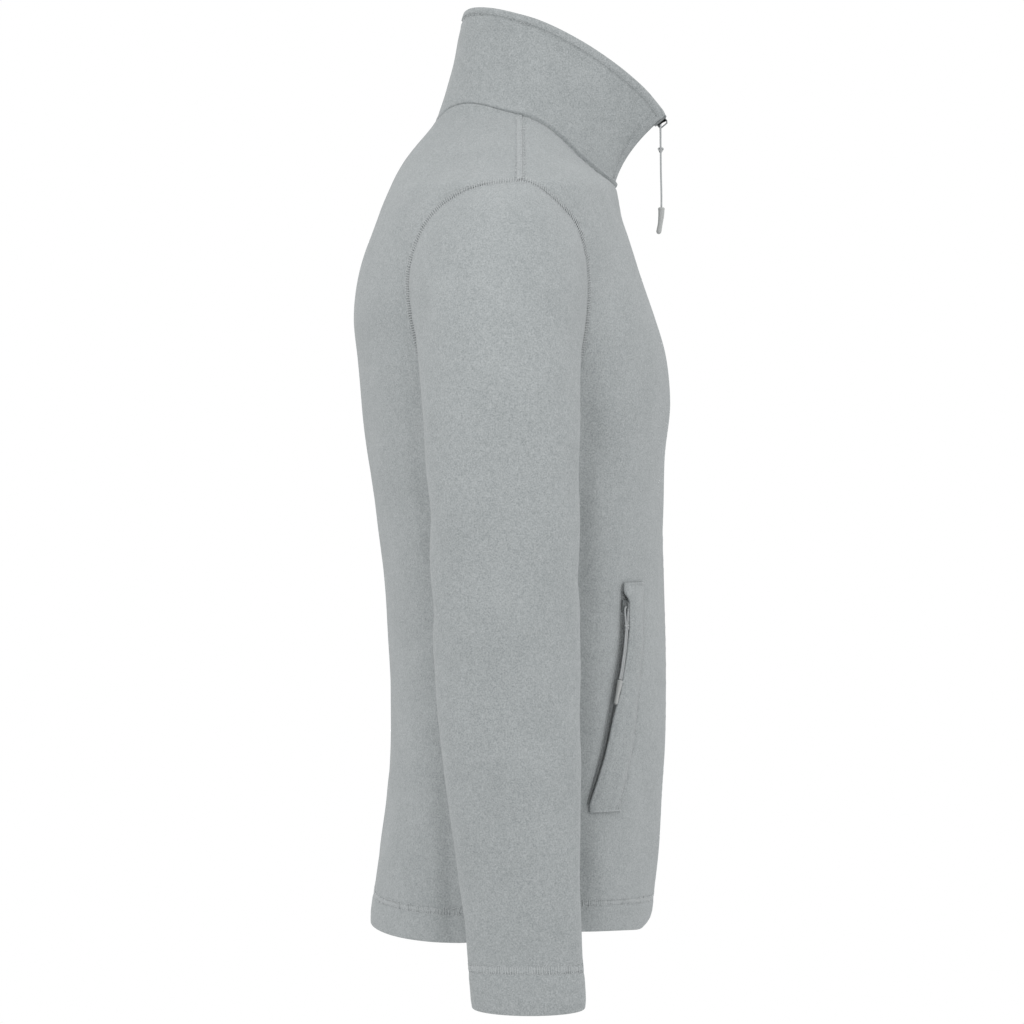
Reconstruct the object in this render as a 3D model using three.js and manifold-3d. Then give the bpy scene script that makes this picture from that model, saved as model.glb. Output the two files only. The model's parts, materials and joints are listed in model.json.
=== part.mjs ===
// A fleece zip jacket with a stand collar, hollow and filled out as it is worn.
// Millimetres, +Z up. The front faces -Y, and the wearer's left is +X.
// The origin is the middle of the neck opening, level with the tops of the shoulder seams.
import * as THREE from "three";
import { mergeVertices } from "three/addons/utils/BufferGeometryUtils.js";
import Module from "manifold-3d";

const wasm = await Module();
wasm.setup();

// Cloth and seams
const fleece = 2.2;
const seamGap = 0.3;
const armholeGap = 0.6;
const hemFold = 1.6;
const hemDepth = 24;
const collarWall = 3.6;

// Heights
const hemLevel = -689;
const hemRise = 9;
const hemBackRise = 4;
const hemFade = 70;
const underarmLevel = -290;
const shoulderLevel = -69;
const neckFrontLevel = -60;

// Front zip
const zipOpening = 9;
const tapeWidth = 15;
const chainWidth = 5.8;
const zip = { chainFace: -0.9, tapeFace: -2.5, back: -3.3 };
const collarZipEnd = 0.955;
const chestCentreLevel = -100;

// Pocket on each front, from its top to its lower end
const pocketTop = -402;
const pocketBottom = -576;
const pocketTape = 8;
const weltLift = 0.3;
const weltWall = 2.2;

// Sliders, cord pullers and their moulded ends
const frontSlider = { length: 10, width: 8, plate: 1.4, wall: 2, bridge: 3.6, bridgeWidth: 1.8 };
const pocketSlider = { length: 9, width: 6, plate: 1.4, wall: 0, bridge: 3.3, bridgeWidth: 1.4 };
const cordWidth = 1.5;
const frontEnd = { top: 2.7, foot: 2 };
const pocketEnd = { top: 2.3, foot: 1.7 };

// Mesh density
const aroundHalfSleeve = 13;
const cordSides = 8;
const endSides = 12;
const sectionSteps = 90;

const fleeceGrey = new THREE.MeshStandardMaterial({ color: 0xa5abac, roughness: 0.95, metalness: 0 });
const tapeGrey = new THREE.MeshStandardMaterial({ color: 0x8d9394, roughness: 0.85, metalness: 0 });
const sliderMetal = new THREE.MeshStandardMaterial({ color: 0x8e9496, roughness: 0.4, metalness: 0.8 });
const cordGrey = new THREE.MeshStandardMaterial({ color: 0xb4b9ba, roughness: 0.8, metalness: 0 });
const mouldedGrey = new THREE.MeshStandardMaterial({ color: 0xabb0b1, roughness: 0.55, metalness: 0 });

// Smooth curves through the rows of a table. The first column is the key, and a row's slope
// comes from the two spans beside it, each weighted by the length of the other.
function smoothTable(columns, rows) {
  const names = columns.split(" ");
  const sorted = [...rows].sort((a, b) => a[0] - b[0]);
  const keys = sorted.map((row) => row[0]);
  const last = keys.length - 1;
  const rise = (i, c) => (sorted[i + 1][c] - sorted[i][c]) / (keys[i + 1] - keys[i]);
  const slope = (i, c) => {
    if (i === 0) return rise(0, c);
    if (i === last) return rise(last - 1, c);
    const before = keys[i] - keys[i - 1];
    const after = keys[i + 1] - keys[i];
    return (rise(i - 1, c) * after + rise(i, c) * before) / (before + after);
  };
  const slopes = sorted.map((_, i) => names.map((_, c) => slope(i, c)));
  return (key) => {
    let i = 0;
    while (i < last - 1 && key > keys[i + 1]) i += 1;
    const span = keys[i + 1] - keys[i];
    const t = THREE.MathUtils.clamp((key - keys[i]) / span, 0, 1);
    const result = {};
    for (let c = 1; c < names.length; c += 1) {
      const start = sorted[i][c] * (1 + 2 * t) * (1 - t) ** 2 + slopes[i][c] * span * t * (1 - t) ** 2;
      const end = sorted[i + 1][c] * t * t * (3 - 2 * t) - slopes[i + 1][c] * span * t * t * (1 - t);
      result[names[c]] = start + end;
    }
    return result;
  };
}

// The torso's level sections. Front, back and side are where a section crosses the axes,
// middle is where its side lies, and the powers say how square its front and back are.
const torsoAt = smoothTable("z front back side middle frontPower backPower", [
  [14, -6, 65, 65, 0, 2, 2],
  [4, -11, 70.5, 71, 0, 2, 2],
  [-3, -18, 75, 76, 0, 2, 2],
  [-12, -31, 82, 94, 0, 2, 2],
  [-24, -42, 92, 118, 0, 2, 2],
  [-36, -52, 101, 143, 0, 2, 2],
  [-48, -65, 108, 168, 0, 2, 2],
  [-60, -80, 113.5, 194, 0, 2.05, 2.05],
  [-69, -82.5, 117, 213.5, 0.5, 2.1, 2.15],
  [-77, -83.8, 120.2, 218.5, 1.2, 2.12, 2.2],
  [-86, -85.5, 123.5, 220.5, 2, 2.15, 2.25],
  [-103, -91, 130, 222, 4, 2.2, 2.35],
  [-138, -102.5, 140, 218, 7, 2.35, 2.5],
  [-172, -113.5, 144, 213, 9, 2.45, 2.6],
  [-206, -123, 140.5, 207, 10, 2.5, 2.7],
  [-241, -126.5, 137.5, 202, 10, 2.5, 2.8],
  [-292, -122, 131.5, 198, 10, 2.5, 2.8],
  [-344, -120.5, 124, 193, 9, 2.5, 2.8],
  [-396, -121.5, 118, 188, 8, 2.45, 2.75],
  [-447, -123, 114.5, 185, 8, 2.45, 2.7],
  [-516, -123, 112, 185, 8, 2.45, 2.7],
  [-585, -119.5, 116, 187, 8, 2.45, 2.7],
  [-636, -116, 123, 189, 8, 2.45, 2.7],
  [-690, -109, 130, 190, 8, 2.45, 2.7],
]);

// The collar seam: its height for each turn about the neck, from the centre front round to
// the centre back.
const neckAt = smoothTable("degrees z", [
  [0, -60],
  [22, -54],
  [36, -46.5],
  [50, -36],
  [62, -24],
  [75, -12],
  [90, -3],
  [104, 2],
  [116, 6.5],
  [138, 10],
  [155, 7.5],
  [168, 1.5],
  [180, -2],
]);

// The collar's top edge for the same turns.
const collarTopAt = smoothTable("degrees x y z", [
  [0, 0, -124.5, 1.5],
  [8, 8, -122.5, 6],
  [15, 14, -116.5, 13.2],
  [22, 19.5, -109.5, 21],
  [36, 30, -95, 33.5],
  [50, 39, -79, 45.2],
  [62, 46, -63, 55.5],
  [75, 52, -47, 64.5],
  [90, 56.5, -28, 73.8],
  [104, 58.5, -11, 80.5],
  [116, 59, 4, 84.6],
  [138, 54, 28, 90],
  [155, 39, 43, 92],
  [168, 22, 49, 91.5],
  [180, 0, 51, 90],
]);

// How far the collar curves in towards the neck at mid height, and how proud the roll above
// its seam stands.
const collarFormAt = smoothTable("degrees waist roll", [
  [0, 8, 1.6],
  [45, 6.5, 1.8],
  [90, 4.5, 1.2],
  [130, 3, 0.4],
  [180, 2.5, 0.3],
]);

// The armhole seam seen from the side, from the shoulder down to the underarm.
const armholeBack = [
  [0.5, -69],
  [10, -69.2],
  [23, -70.8],
  [49, -77.8],
  [71, -93],
  [86, -117],
  [92.5, -145],
  [91, -172],
  [85, -202],
  [73, -236],
  [52, -267],
  [28, -285],
  [10, -290],
];
const armholeFront = [
  [0.5, -69],
  [-5, -70.2],
  [-10, -72.6],
  [-21, -80.3],
  [-33, -91],
  [-42, -101],
  [-50, -123],
  [-53, -153],
  [-51, -185],
  [-43, -225],
  [-26, -262],
  [-7, -284],
  [10, -290],
];

// The left sleeve's rings from the armhole to the cuff. Each is an oval through its outer and
// inner points, seen from the front, and its front and back depths.
const sleeveAt = smoothTable("way outX outZ inX inZ front back", [
  [0, 213, -69, 198, -290, -53, 92.5],
  [0.02, 222, -74, 203, -290.5, -52.3, 91.5],
  [0.06, 240, -87, 206, -293, -50.8, 89.5],
  [0.11, 259, -107, 207.5, -299, -49, 87],
  [0.17, 276, -136, 208, -309, -47.5, 84],
  [0.24, 289, -173, 208, -325, -46.3, 81],
  [0.32, 299, -220, 208.5, -350, -45.5, 78.5],
  [0.41, 304, -275, 209, -385, -45.4, 76.3],
  [0.51, 304, -340, 210, -432, -45.8, 74],
  [0.61, 300, -411, 211, -486, -45.8, 71],
  [0.71, 293, -489, 212.5, -545, -45.8, 66],
  [0.81, 286, -572, 214, -607, -46.6, 56],
  [0.91, 278, -656, 215, -674, -47.3, 46.5],
  [0.96, 275, -700.5, 216, -703, -48.8, 43.5],
  [1, 273, -737, 216, -731.5, -50, 41],
]);
const cuffStart = 0.955;
const sleeveWays = [0, 0.02, 0.045, 0.075, 0.11, 0.15, 0.195, 0.24, 0.295, 0.35, 0.41, 0.475, 0.54, 0.61,
  0.68, 0.745, 0.81, 0.87, 0.92, cuffStart, 1];

// The pocket's slit at each height: where it lies seen from the side, how wide it is, how far
// the welt reaches from it towards the front zip, and how far the welt stands off.
const slitAt = smoothTable("z y width welt lift", [
  [-402, -84.5, 9, 24, 0.5],
  [-443, -83, 9, 25, 1.2],
  [-493, -75, 8, 27, 1.2],
  [-537, -66, 6, 30, 0.9],
  [-576, -55, 1.6, 32, 0.5],
]);

const halfTurn = Math.PI;
const quarterTurn = Math.PI / 2;
const degrees = THREE.MathUtils.radToDeg;
const mix = THREE.MathUtils.lerp;
const between = THREE.MathUtils.smoothstep;

function vector(x, y, z) {
  return new THREE.Vector3(x, y, z);
}

function steps(count, make) {
  return Array.from({ length: count + 1 }, (_, i) => make(i / count));
}

// A point of the torso. Turn 0 is the centre front, and a positive turn goes to the left side.
function torso(turn, z) {
  const level = torsoAt(z);
  const forward = Math.cos(turn) > 0;
  const depth = forward ? level.middle - level.front : level.back - level.middle;
  const power = forward ? level.frontPower : level.backPower;
  const across = (Math.abs(Math.sin(turn)) / level.side) ** power;
  const along = (Math.abs(Math.cos(turn)) / depth) ** power;
  const radius = (across + along) ** (-1 / power);
  return vector(radius * Math.sin(turn), level.middle - radius * Math.cos(turn), z);
}

// The outward normal of a surface with two parameters, the first running anticlockwise seen
// from above and the second upwards.
function normalOf(surface, a, b, stepA, stepB) {
  const along = surface(a + stepA, b).sub(surface(a - stepA, b));
  const up = surface(a, b + stepB).sub(surface(a, b - stepB));
  return along.cross(up).normalize();
}

function torsoNormal(turn, z) {
  return normalOf(torso, turn, z, 0.004, 0.5);
}

// Halving search for where a rising function passes a value.
function findWhere(value, low, high, rising) {
  let a = low;
  let b = high;
  for (let i = 0; i < 40; i += 1) {
    const middle = (a + b) / 2;
    if (rising(middle) < value) a = middle;
    else b = middle;
  }
  return (a + b) / 2;
}

function turnWhereY(y, z) {
  return findWhere(y, 0, halfTurn, (turn) => torso(turn, z).y);
}

function turnWhereX(x, z) {
  return findWhere(x, 0, quarterTurn / 2, (turn) => torso(turn, z).x);
}

function neckLevel(turn) {
  const folded = Math.abs(turn) > halfTurn ? 2 * halfTurn - Math.abs(turn) : Math.abs(turn);
  return neckAt(degrees(folded)).z;
}

// The hem rises towards the side of the front, and a little towards the centre back.
function hemLift(turn, z) {
  const folded = degrees(Math.abs(turn));
  const front = hemRise * between(folded, 22, 78) * (1 - between(folded, 84, 106));
  const back = hemBackRise * between(folded, 95, 165);
  return (front + back) * (1 - between(z, hemLevel, hemLevel + hemFade));
}

function hemWall(z) {
  return fleece + hemFold * (1 - between(z, hemLevel + hemDepth - 3, hemLevel + hemDepth + 3));
}

// The armhole seam as evenly spaced points on the torso, from the shoulder to the underarm,
// each moved by a distance away from the middle of the opening.
function armholeHalf(table, away) {
  const curve = new THREE.CatmullRomCurve3(table.map(([y, z]) => vector(0, y, z)), false, "centripetal");
  const centre = vector(0, 18, -185);
  return steps(aroundHalfSleeve, (t) => {
    const point = curve.getPointAt(t);
    const out = point.clone().sub(centre).normalize().multiplyScalar(away);
    point.add(out);
    const turn = turnWhereY(point.y, point.z);
    return { turn, z: point.z };
  });
}

// A closed wall between an outer and an inner grid of points. Cells that the mask leaves out
// become holes, and every open edge gets a rim.
function wallGeometry(outer, inner, { closed = false, keep = () => true } = {}) {
  const rows = outer.length;
  const columns = outer[0].length;
  const across = closed ? columns : columns - 1;
  const positions = [];
  for (const grid of [outer, inner]) {
    for (const row of grid) for (const p of row) positions.push(p.x, p.y, p.z);
  }
  const at = (layer, i, j) => layer * rows * columns + i * columns + (j % columns);
  const isKept = (i, j) => {
    if (i < 0 || i >= rows - 1) return false;
    const column = closed ? (j + across) % across : j;
    return column >= 0 && column < across && keep(i, column);
  };
  const faces = [];
  const quad = (a, b, c, d) => faces.push(a, b, c, a, c, d);
  const rim = (i, j, k, l) => quad(at(0, i, j), at(1, i, j), at(1, k, l), at(0, k, l));
  for (let i = 0; i < rows - 1; i += 1) {
    for (let j = 0; j < across; j += 1) {
      if (!isKept(i, j)) continue;
      quad(at(0, i, j), at(0, i, j + 1), at(0, i + 1, j + 1), at(0, i + 1, j));
      quad(at(1, i, j), at(1, i + 1, j), at(1, i + 1, j + 1), at(1, i, j + 1));
      if (!isKept(i - 1, j)) rim(i, j, i, j + 1);
      if (!isKept(i + 1, j)) rim(i + 1, j + 1, i + 1, j);
      if (!isKept(i, j - 1)) rim(i + 1, j, i, j);
      if (!isKept(i, j + 1)) rim(i, j + 1, i + 1, j + 1);
    }
  }
  return outwardGeometry(positions, faces);
}

function signedVolume(positions, faces) {
  const corner = (i) => vector(...positions.slice(3 * i, 3 * i + 3));
  let total = 0;
  for (let f = 0; f < faces.length; f += 3) {
    const [a, b, c] = [corner(faces[f]), corner(faces[f + 1]), corner(faces[f + 2])];
    total += a.dot(b.cross(c)) / 6;
  }
  return total;
}

function outwardGeometry(positions, faces) {
  const turned = signedVolume(positions, faces) < 0;
  const index = turned ? [...faces].reverse() : faces;
  const used = new Map();
  const kept = [];
  const packed = index.map((i) => {
    if (!used.has(i)) {
      used.set(i, kept.length / 3);
      kept.push(...positions.slice(3 * i, 3 * i + 3));
    }
    return used.get(i);
  });
  const geometry = new THREE.BufferGeometry();
  geometry.setAttribute("position", new THREE.Float32BufferAttribute(kept, 3));
  geometry.setIndex(packed);
  geometry.computeVertexNormals();
  return geometry;
}

// The same geometry on the other side of the jacket.
function mirrored(geometry) {
  const position = geometry.getAttribute("position");
  const positions = Array.from(position.array, (value, i) => (i % 3 === 0 ? -value : value));
  return outwardGeometry(positions, Array.from(geometry.index.array));
}

// Panels. A panel is a grid of rows, each at one height, from its turn at one edge to its turn
// at the other.
const armholeBackEdge = armholeHalf(armholeBack, armholeGap / 2);
const armholeFrontEdge = armholeHalf(armholeFront, armholeGap / 2);
const sideLevels = [hemLevel, hemLevel + hemDepth - 3, hemLevel + hemDepth + 3, -630, -603, pocketBottom, -553,
  -530, -505, -480, -455, -428, pocketTop, -374, -346, -318];
const neckTurns = [0, 9, 18, 27, 37, 47, 57, 67, 77, 86.5].map(THREE.MathUtils.degToRad);
const napeTurns = [90, 100, 112, 124, 136, 148, 159, 170, 180].map(THREE.MathUtils.degToRad);

function edgeTurn(z) {
  return turnWhereX(zipOpening / 2, z);
}

// The lengths along a level section from one turn to another, at even steps of the turn.
function sectionLengths(left, right, z) {
  const points = steps(sectionSteps, (t) => torso(mix(left, right, t), z));
  const lengths = [0];
  for (let i = 1; i < points.length; i += 1) lengths.push(lengths[i - 1] + points[i].distanceTo(points[i - 1]));
  return lengths;
}

// The turns that divide a section at shares of its length, and the other way round.
function turnsAt(left, right, z, shares) {
  const lengths = sectionLengths(left, right, z);
  return shares.map((share) => {
    const wanted = share * lengths[sectionSteps];
    const i = Math.min(Math.max(lengths.findIndex((length) => length > wanted), 1), sectionSteps);
    const part = share >= 1 ? 1 : (wanted - lengths[i - 1]) / (lengths[i] - lengths[i - 1]);
    return mix(left, right, share >= 1 ? 1 : (i - 1 + part) / sectionSteps);
  });
}

function shareAt(left, right, z, turn) {
  const whole = sectionLengths(left, right, z)[sectionSteps];
  return sectionLengths(left, turn, z)[sectionSteps] / whole;
}

// The front's columns at one height, as turns: the zip's edge and tape, then the pocket's welt,
// slit and tape, then the side. Away from the pocket they keep their shares of the row.
function frontTurns(left, right, z) {
  const level = THREE.MathUtils.clamp(z, pocketBottom, pocketTop);
  const start = edgeTurn(level);
  const slit = slitAt(level);
  const middle = shareAt(start, quarterTurn, level, turnWhereY(slit.y, level));
  const width = sectionLengths(start, quarterTurn, level)[sectionSteps];
  const half = slit.width / 2;
  const move = (distance) => middle - distance / width;
  const pocket = [half + slit.welt, half + pocketTape, half, -half, -half - pocketTape].map(move);
  const [welt, tapeFront, slitFront, slitRear, tapeRear] = pocket;
  const strip = (tapeWidth - zipOpening / 2) / width;
  const shares = [0, strip, mix(strip, welt, 0.34), mix(strip, welt, 0.67), welt, tapeFront, slitFront,
    slitRear, tapeRear, mix(tapeRear, 1, 0.45), mix(tapeRear, 1, 0.78), 1];
  const turns = turnsAt(left, right, z, shares);
  if (z < shoulderLevel) turns[1] = turnWhereX(tapeWidth, z);
  return turns;
}
const slitColumn = 6;
const weltColumn = 4;

// A row's points: its turns, with heights that go evenly from one end of the row to the other.
function slantedRow(turns, startLevel, endLevel) {
  const last = turns.length - 1;
  return turns.map((turn, j) => ({ turn, z: mix(startLevel, endLevel, j / last) }));
}

function frontRows() {
  const side = quarterTurn - seamGap / 2 / torsoAt(hemLevel).side;
  const ends = sideLevels.map((z) => ({ turn: side, z, centre: z }));
  const armhole = [...armholeFrontEdge].reverse();
  armhole.forEach((edge, i) => {
    const centre = mix(underarmLevel, chestCentreLevel, i / (armhole.length - 1));
    ends.push({ turn: Math.min(edge.turn, side), z: edge.z, centre });
  });
  const rows = ends.map(({ turn, z, centre }) => ({ start: edgeTurn(centre), from: centre, end: turn, to: z }));
  const chest = [mix(chestCentreLevel, neckFrontLevel, 0.35), mix(chestCentreLevel, neckFrontLevel, 0.7)];
  const necks = neckTurns.map((turn) => neckLevel(turn) - seamGap / 2);
  const starts = [...chest.map((z) => ({ turn: 0, z })), ...neckTurns.map((turn, i) => ({ turn, z: necks[i] }))];
  starts.forEach(({ turn, z }, i) => {
    const to = mix(shoulderLevel, necks[necks.length - 1], (i + 1) / starts.length);
    rows.push({ start: Math.max(turn, edgeTurn(z)), from: z, end: side, to });
  });
  return rows.map(({ start, from, end, to }) => {
    const turns = frontTurns(start, end, (from + to) / 2);
    const row = slantedRow(turns, from, to);
    if (from < neckFrontLevel - 1) row[1].turn = turnWhereX(tapeWidth, row[1].z);
    return row;
  });
}

function backRows() {
  const nape = [...napeTurns, ...napeTurns.slice(0, -1).map((turn) => 2 * halfTurn - turn).reverse()];
  const side = quarterTurn + seamGap / 2 / torsoAt(hemLevel).side;
  const neckEnd = neckLevel(side) - seamGap / 2;
  const half = napeTurns.map((turn) => shareAt(quarterTurn, halfTurn, neckEnd, turn) / 2);
  const shares = [...half, ...half.slice(0, -1).map((share) => 1 - share).reverse()];
  const ends = sideLevels.map((z) => ({ turn: side, z, centre: z }));
  const armhole = [...armholeBackEdge].reverse();
  armhole.forEach((edge, i) => {
    const centre = mix(underarmLevel, chestCentreLevel, i / (armhole.length - 1));
    ends.push({ turn: Math.max(edge.turn, side), z: edge.z, centre });
  });
  const shoulder = 6;
  for (let i = 1; i < shoulder; i += 1) {
    const t = i / shoulder;
    ends.push({ turn: side, z: mix(shoulderLevel, neckEnd, t), centre: mix(chestCentreLevel, neckEnd, t) });
  }
  const rows = ends.map(({ turn, z, centre }) => {
    const turns = turnsAt(turn, 2 * halfTurn - turn, z, shares);
    const middle = (turns.length - 1) / 2;
    return turns.map((value, j) => ({ turn: value, z: mix(z, centre, 1 - Math.abs(j / middle - 1)) }));
  });
  return [...rows, nape.map((turn) => ({ turn, z: neckLevel(turn) - seamGap / 2 }))];
}

// Points of the torso's surface at a depth along its normal. A positive depth is outside.
function torsoGrid(rows, depthAt) {
  return rows.map((row, i) => row.map(({ turn, z }, j) => {
    const point = torso(turn, z).addScaledVector(torsoNormal(turn, z), depthAt(z, i, j));
    point.z += hemLift(turn, z);
    return point;
  }));
}

const frontGridRows = frontRows();
const pocketRows = [sideLevels.indexOf(pocketBottom), sideLevels.indexOf(pocketTop)];

function isSlit(i, j) {
  return j === slitColumn && i >= pocketRows[0] && i < pocketRows[1];
}

function frontPanel() {
  const outer = torsoGrid(frontGridRows, () => 0);
  const inner = torsoGrid(frontGridRows, (z) => -hemWall(z));
  return wallGeometry(outer, inner, { keep: (i, j) => !isSlit(i, j) });
}

function backPanel() {
  const rows = backRows();
  return wallGeometry(torsoGrid(rows, () => 0), torsoGrid(rows, (z) => -hemWall(z)));
}

// The welt lies on the panel's own points beside the slit, and its free edge hangs over it.
function welt() {
  const rows = frontGridRows.slice(pocketRows[0], pocketRows[1] + 1).map((row, i, all) => {
    const over = row[slitColumn].z > pocketTop - 40 ? 0.12 : 0.2;
    const free = { turn: mix(row[slitColumn].turn, row[slitColumn + 1].turn, over), z: row[slitColumn].z };
    const kept = [...row.slice(weltColumn, slitColumn + 1), free];
    const end = i === 0 || i === all.length - 1;
    return { kept, end };
  });
  const grid = rows.map((row) => row.kept);
  const lift = (z, i, j) => weltLift + (rows[i].end ? 0 : slitAt(z).lift * [0, 0.4, 1, 1.2][j]);
  const outer = torsoGrid(grid, (z, i, j) => lift(z, i, j) + weltWall);
  return wallGeometry(outer, torsoGrid(grid, lift));
}

// The pocket's zip lies behind the slit, with its chain raised in the middle.
function pocketZip() {
  const grid = frontGridRows.slice(pocketRows[0], pocketRows[1] + 1).map((row) => {
    const [front, rear] = [row[slitColumn], row[slitColumn + 1]];
    const at = (t) => ({ turn: mix(front.turn, rear.turn, t), z: front.z });
    return [row[slitColumn - 1], front, at(0.24), at(0.26), at(0.74), at(0.76), rear, row[slitColumn + 2]];
  });
  const raised = [3, 4];
  const face = (z, i, j) => (raised.includes(j) ? zip.chainFace : zip.tapeFace);
  return wallGeometry(torsoGrid(grid, face), torsoGrid(grid, () => zip.back));
}

// Collar. Its surface runs from the neck seam, rise 0, to its top edge, rise 1.
function collar(turn, rise) {
  const folded = turn > halfTurn ? 2 * halfTurn - turn : Math.abs(turn);
  const side = turn > halfTurn || turn < 0 ? -1 : 1;
  const key = degrees(folded);
  const base = torso(folded, neckLevel(folded) + seamGap);
  const top = collarTopAt(key);
  const point = base.lerp(vector(top.x, top.y, top.z), rise);
  const inward = vector(-point.x, -25 - point.y, 0).normalize();
  point.addScaledVector(inward, collarFormAt(key).waist * 4 * rise * (1 - rise));
  point.x *= side;
  return point;
}

// Near the front zip the collar lies flat across the tape, so its normal there has no x.
function collarNormal(turn, rise) {
  const own = normalOf(collar, turn, rise, 0.01, 0.02);
  own.x *= between(Math.abs(collar(turn, rise).x), zipOpening / 2, 2 * tapeWidth);
  const seam = torsoNormal(turn, neckLevel(turn));
  return own.lerp(seam, 1 - between(rise, 0, 0.12)).normalize();
}

function collarTurn(x, rise) {
  return findWhere(x, 0, quarterTurn, (turn) => collar(turn, rise).x);
}

const collarRises = [0, 0.03, 0.09, 0.14, 0.28, 0.45, 0.62, 0.8, 0.93, 1];

function collarBand() {
  const rows = collarRises.map((rise) => {
    const edge = collarTurn(zipOpening / 2, rise);
    const half = [edge, ...neckTurns.slice(1), ...napeTurns.slice(0, -1)];
    return [...half, halfTurn, ...half.map((turn) => 2 * halfTurn - turn).reverse()];
  });
  const depth = (turn, rise, wall) => {
    const key = degrees(turn > halfTurn ? 2 * halfTurn - turn : turn);
    const roll = collarFormAt(key).roll * between(rise, 0, 0.03) * (1 - between(rise, 0.09, 0.14));
    const top = between(rise, 0.93, 1) * 0.7;
    return wall ? -collarWall + top : roll - top;
  };
  const grid = (wall) => rows.map((row, i) => row.map((turn) => {
    const rise = collarRises[i];
    return collar(turn, rise).addScaledVector(collarNormal(turn, rise), depth(turn, rise, wall));
  }));
  return wallGeometry(grid(false), grid(true));
}

// Front zip. Its middle line runs up the fronts' edges and then up the collar's.
function zipPlace(point, normal) {
  point.x = 0;
  normal.x = 0;
  return { point, normal: normal.normalize() };
}

function frontZipPlace(z) {
  const turn = edgeTurn(z);
  return zipPlace(torso(turn, z), torsoNormal(turn, z));
}

function collarZipPlace(rise) {
  const turn = collarTurn(zipOpening / 2, rise);
  return zipPlace(collar(turn, rise), collarNormal(turn, rise));
}

// One half from the hem to the collar's top: half of the chain in the opening, and a tape that
// reaches behind the front's edge up to the shoulder's level, and in the collar fills only the
// opening, because the rest is sewn in between the collar's two layers.
function frontZip() {
  const edge = zipOpening / 2 - seamGap;
  const columns = [
    { x: seamGap / 2, face: zip.chainFace },
    { x: chainWidth / 2, face: zip.chainFace },
    { x: chainWidth / 2 + 0.2, face: zip.tapeFace },
    { x: edge - 0.2, face: zip.tapeFace },
  ];
  const rows = frontGridRows.filter((row) => row[0].z < neckFrontLevel - 1);
  const wide = rows.map((row) => ({ z: row[0].z, tape: row[1], ...frontZipPlace(row[0].z) }));
  const low = neckFrontLevel - 0.5;
  const rises = [...collarRises.filter((rise) => rise < collarZipEnd), collarZipEnd];
  const stations = [...wide, { z: low, ...frontZipPlace(low) }, ...rises.map(collarZipPlace)];
  const tapeEdge = (station, depth) => {
    if (!station.tape) return vector(edge, station.point.y, station.point.z).addScaledVector(station.normal, depth);
    const { turn, z } = station.tape;
    return torso(turn, z).addScaledVector(torsoNormal(turn, z), depth);
  };
  const layer = (back) => stations.map((station) => {
    const clear = station.tape && station.z < hemLevel + hemDepth + 10 ? hemFold : 0;
    const depth = (face) => (back ? zip.back - clear : face - (face === zip.tapeFace ? clear : 0));
    const row = columns.map(({ x, face }) => {
      const point = vector(x, station.point.y, station.point.z);
      return point.addScaledVector(station.normal, depth(face));
    });
    return [...row, tapeEdge(station, depth(zip.tapeFace))];
  });
  return wallGeometry(layer(false), layer(true));
}

// Sleeve. Share 0 round a ring is its outer point, a quarter its back and a half its inner
// point; way 0 is the armhole and way 1 the cuff.
const armholeRing = [
  ...armholeHalf(armholeBack, -armholeGap / 2),
  ...armholeHalf(armholeFront, -armholeGap / 2).reverse().slice(1, -1),
];

function sleeveOval(share, way) {
  const ring = sleeveAt(way);
  const turn = 2 * Math.PI * share;
  const across = (1 + Math.cos(turn)) / 2;
  const middle = (ring.front + ring.back) / 2;
  const depth = (ring.back - ring.front) / 2;
  return vector(mix(ring.inX, ring.outX, across), middle + depth * Math.sin(turn), mix(ring.inZ, ring.outZ, across));
}

function armholePoint(share) {
  const place = share * armholeRing.length;
  const low = Math.floor(place + 1e-6) % armholeRing.length;
  const a = armholeRing[low];
  const b = armholeRing[(low + 1) % armholeRing.length];
  return torso(a.turn, a.z).lerp(torso(b.turn, b.z), place - Math.floor(place + 1e-6));
}

function sleeve(share, way) {
  const round = share - Math.floor(share);
  const point = sleeveOval(round, way);
  const fade = 1 - between(way, 0, 0.3);
  return point.addScaledVector(armholePoint(round).sub(sleeveOval(round, 0)), fade);
}

function sleeveInward(share, way) {
  const along = sleeve(share + 0.02, way).sub(sleeve(share - 0.02, way));
  const down = sleeve(share, Math.min(way + 0.01, 1)).sub(sleeve(share, Math.max(way - 0.01, 0)));
  return along.cross(down).normalize();
}

function sleeveWall() {
  const count = armholeRing.length;
  const shares = Array.from({ length: count }, (_, i) => i / count);
  const outer = sleeveWays.map((way) => shares.map((share) => sleeve(share, way)));
  const inner = sleeveWays.map((way) => shares.map((share, i) => {
    const wall = fleece + hemFold * between(way, cuffStart - 0.01, cuffStart);
    const { turn, z } = armholeRing[i];
    const atSeam = torsoNormal(turn, z).negate();
    const inward = sleeveInward(share, way).lerp(atSeam, 1 - between(way, 0, 0.015)).normalize();
    return sleeve(share, way).addScaledVector(inward, wall);
  }));
  return wallGeometry(outer, inner, { closed: true });
}

// Sliders. Seen from the side a slider is a plate over the chain, and the front one also has a
// plate behind the chain and a wall over its end. A bridge on the plate holds the cord.
function plateShape(size) {
  const face = zip.chainFace + seamGap;
  const front = face + size.plate;
  const [low, high] = [-size.length / 2, size.length / 2];
  const shape = new THREE.Shape();
  shape.moveTo(face, low);
  shape.lineTo(front - 0.4, low);
  shape.lineTo(front, low + 0.6);
  shape.lineTo(front, high - 0.6);
  shape.lineTo(front - 0.4, high);
  if (size.wall > 0) {
    const behind = zip.back - seamGap;
    shape.lineTo(behind - size.plate, high);
    shape.lineTo(behind - size.plate, low);
    shape.lineTo(behind, low);
    shape.lineTo(behind, high - size.wall);
    shape.lineTo(face, high - size.wall);
  } else {
    shape.lineTo(face, high);
  }
  return shape;
}

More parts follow.
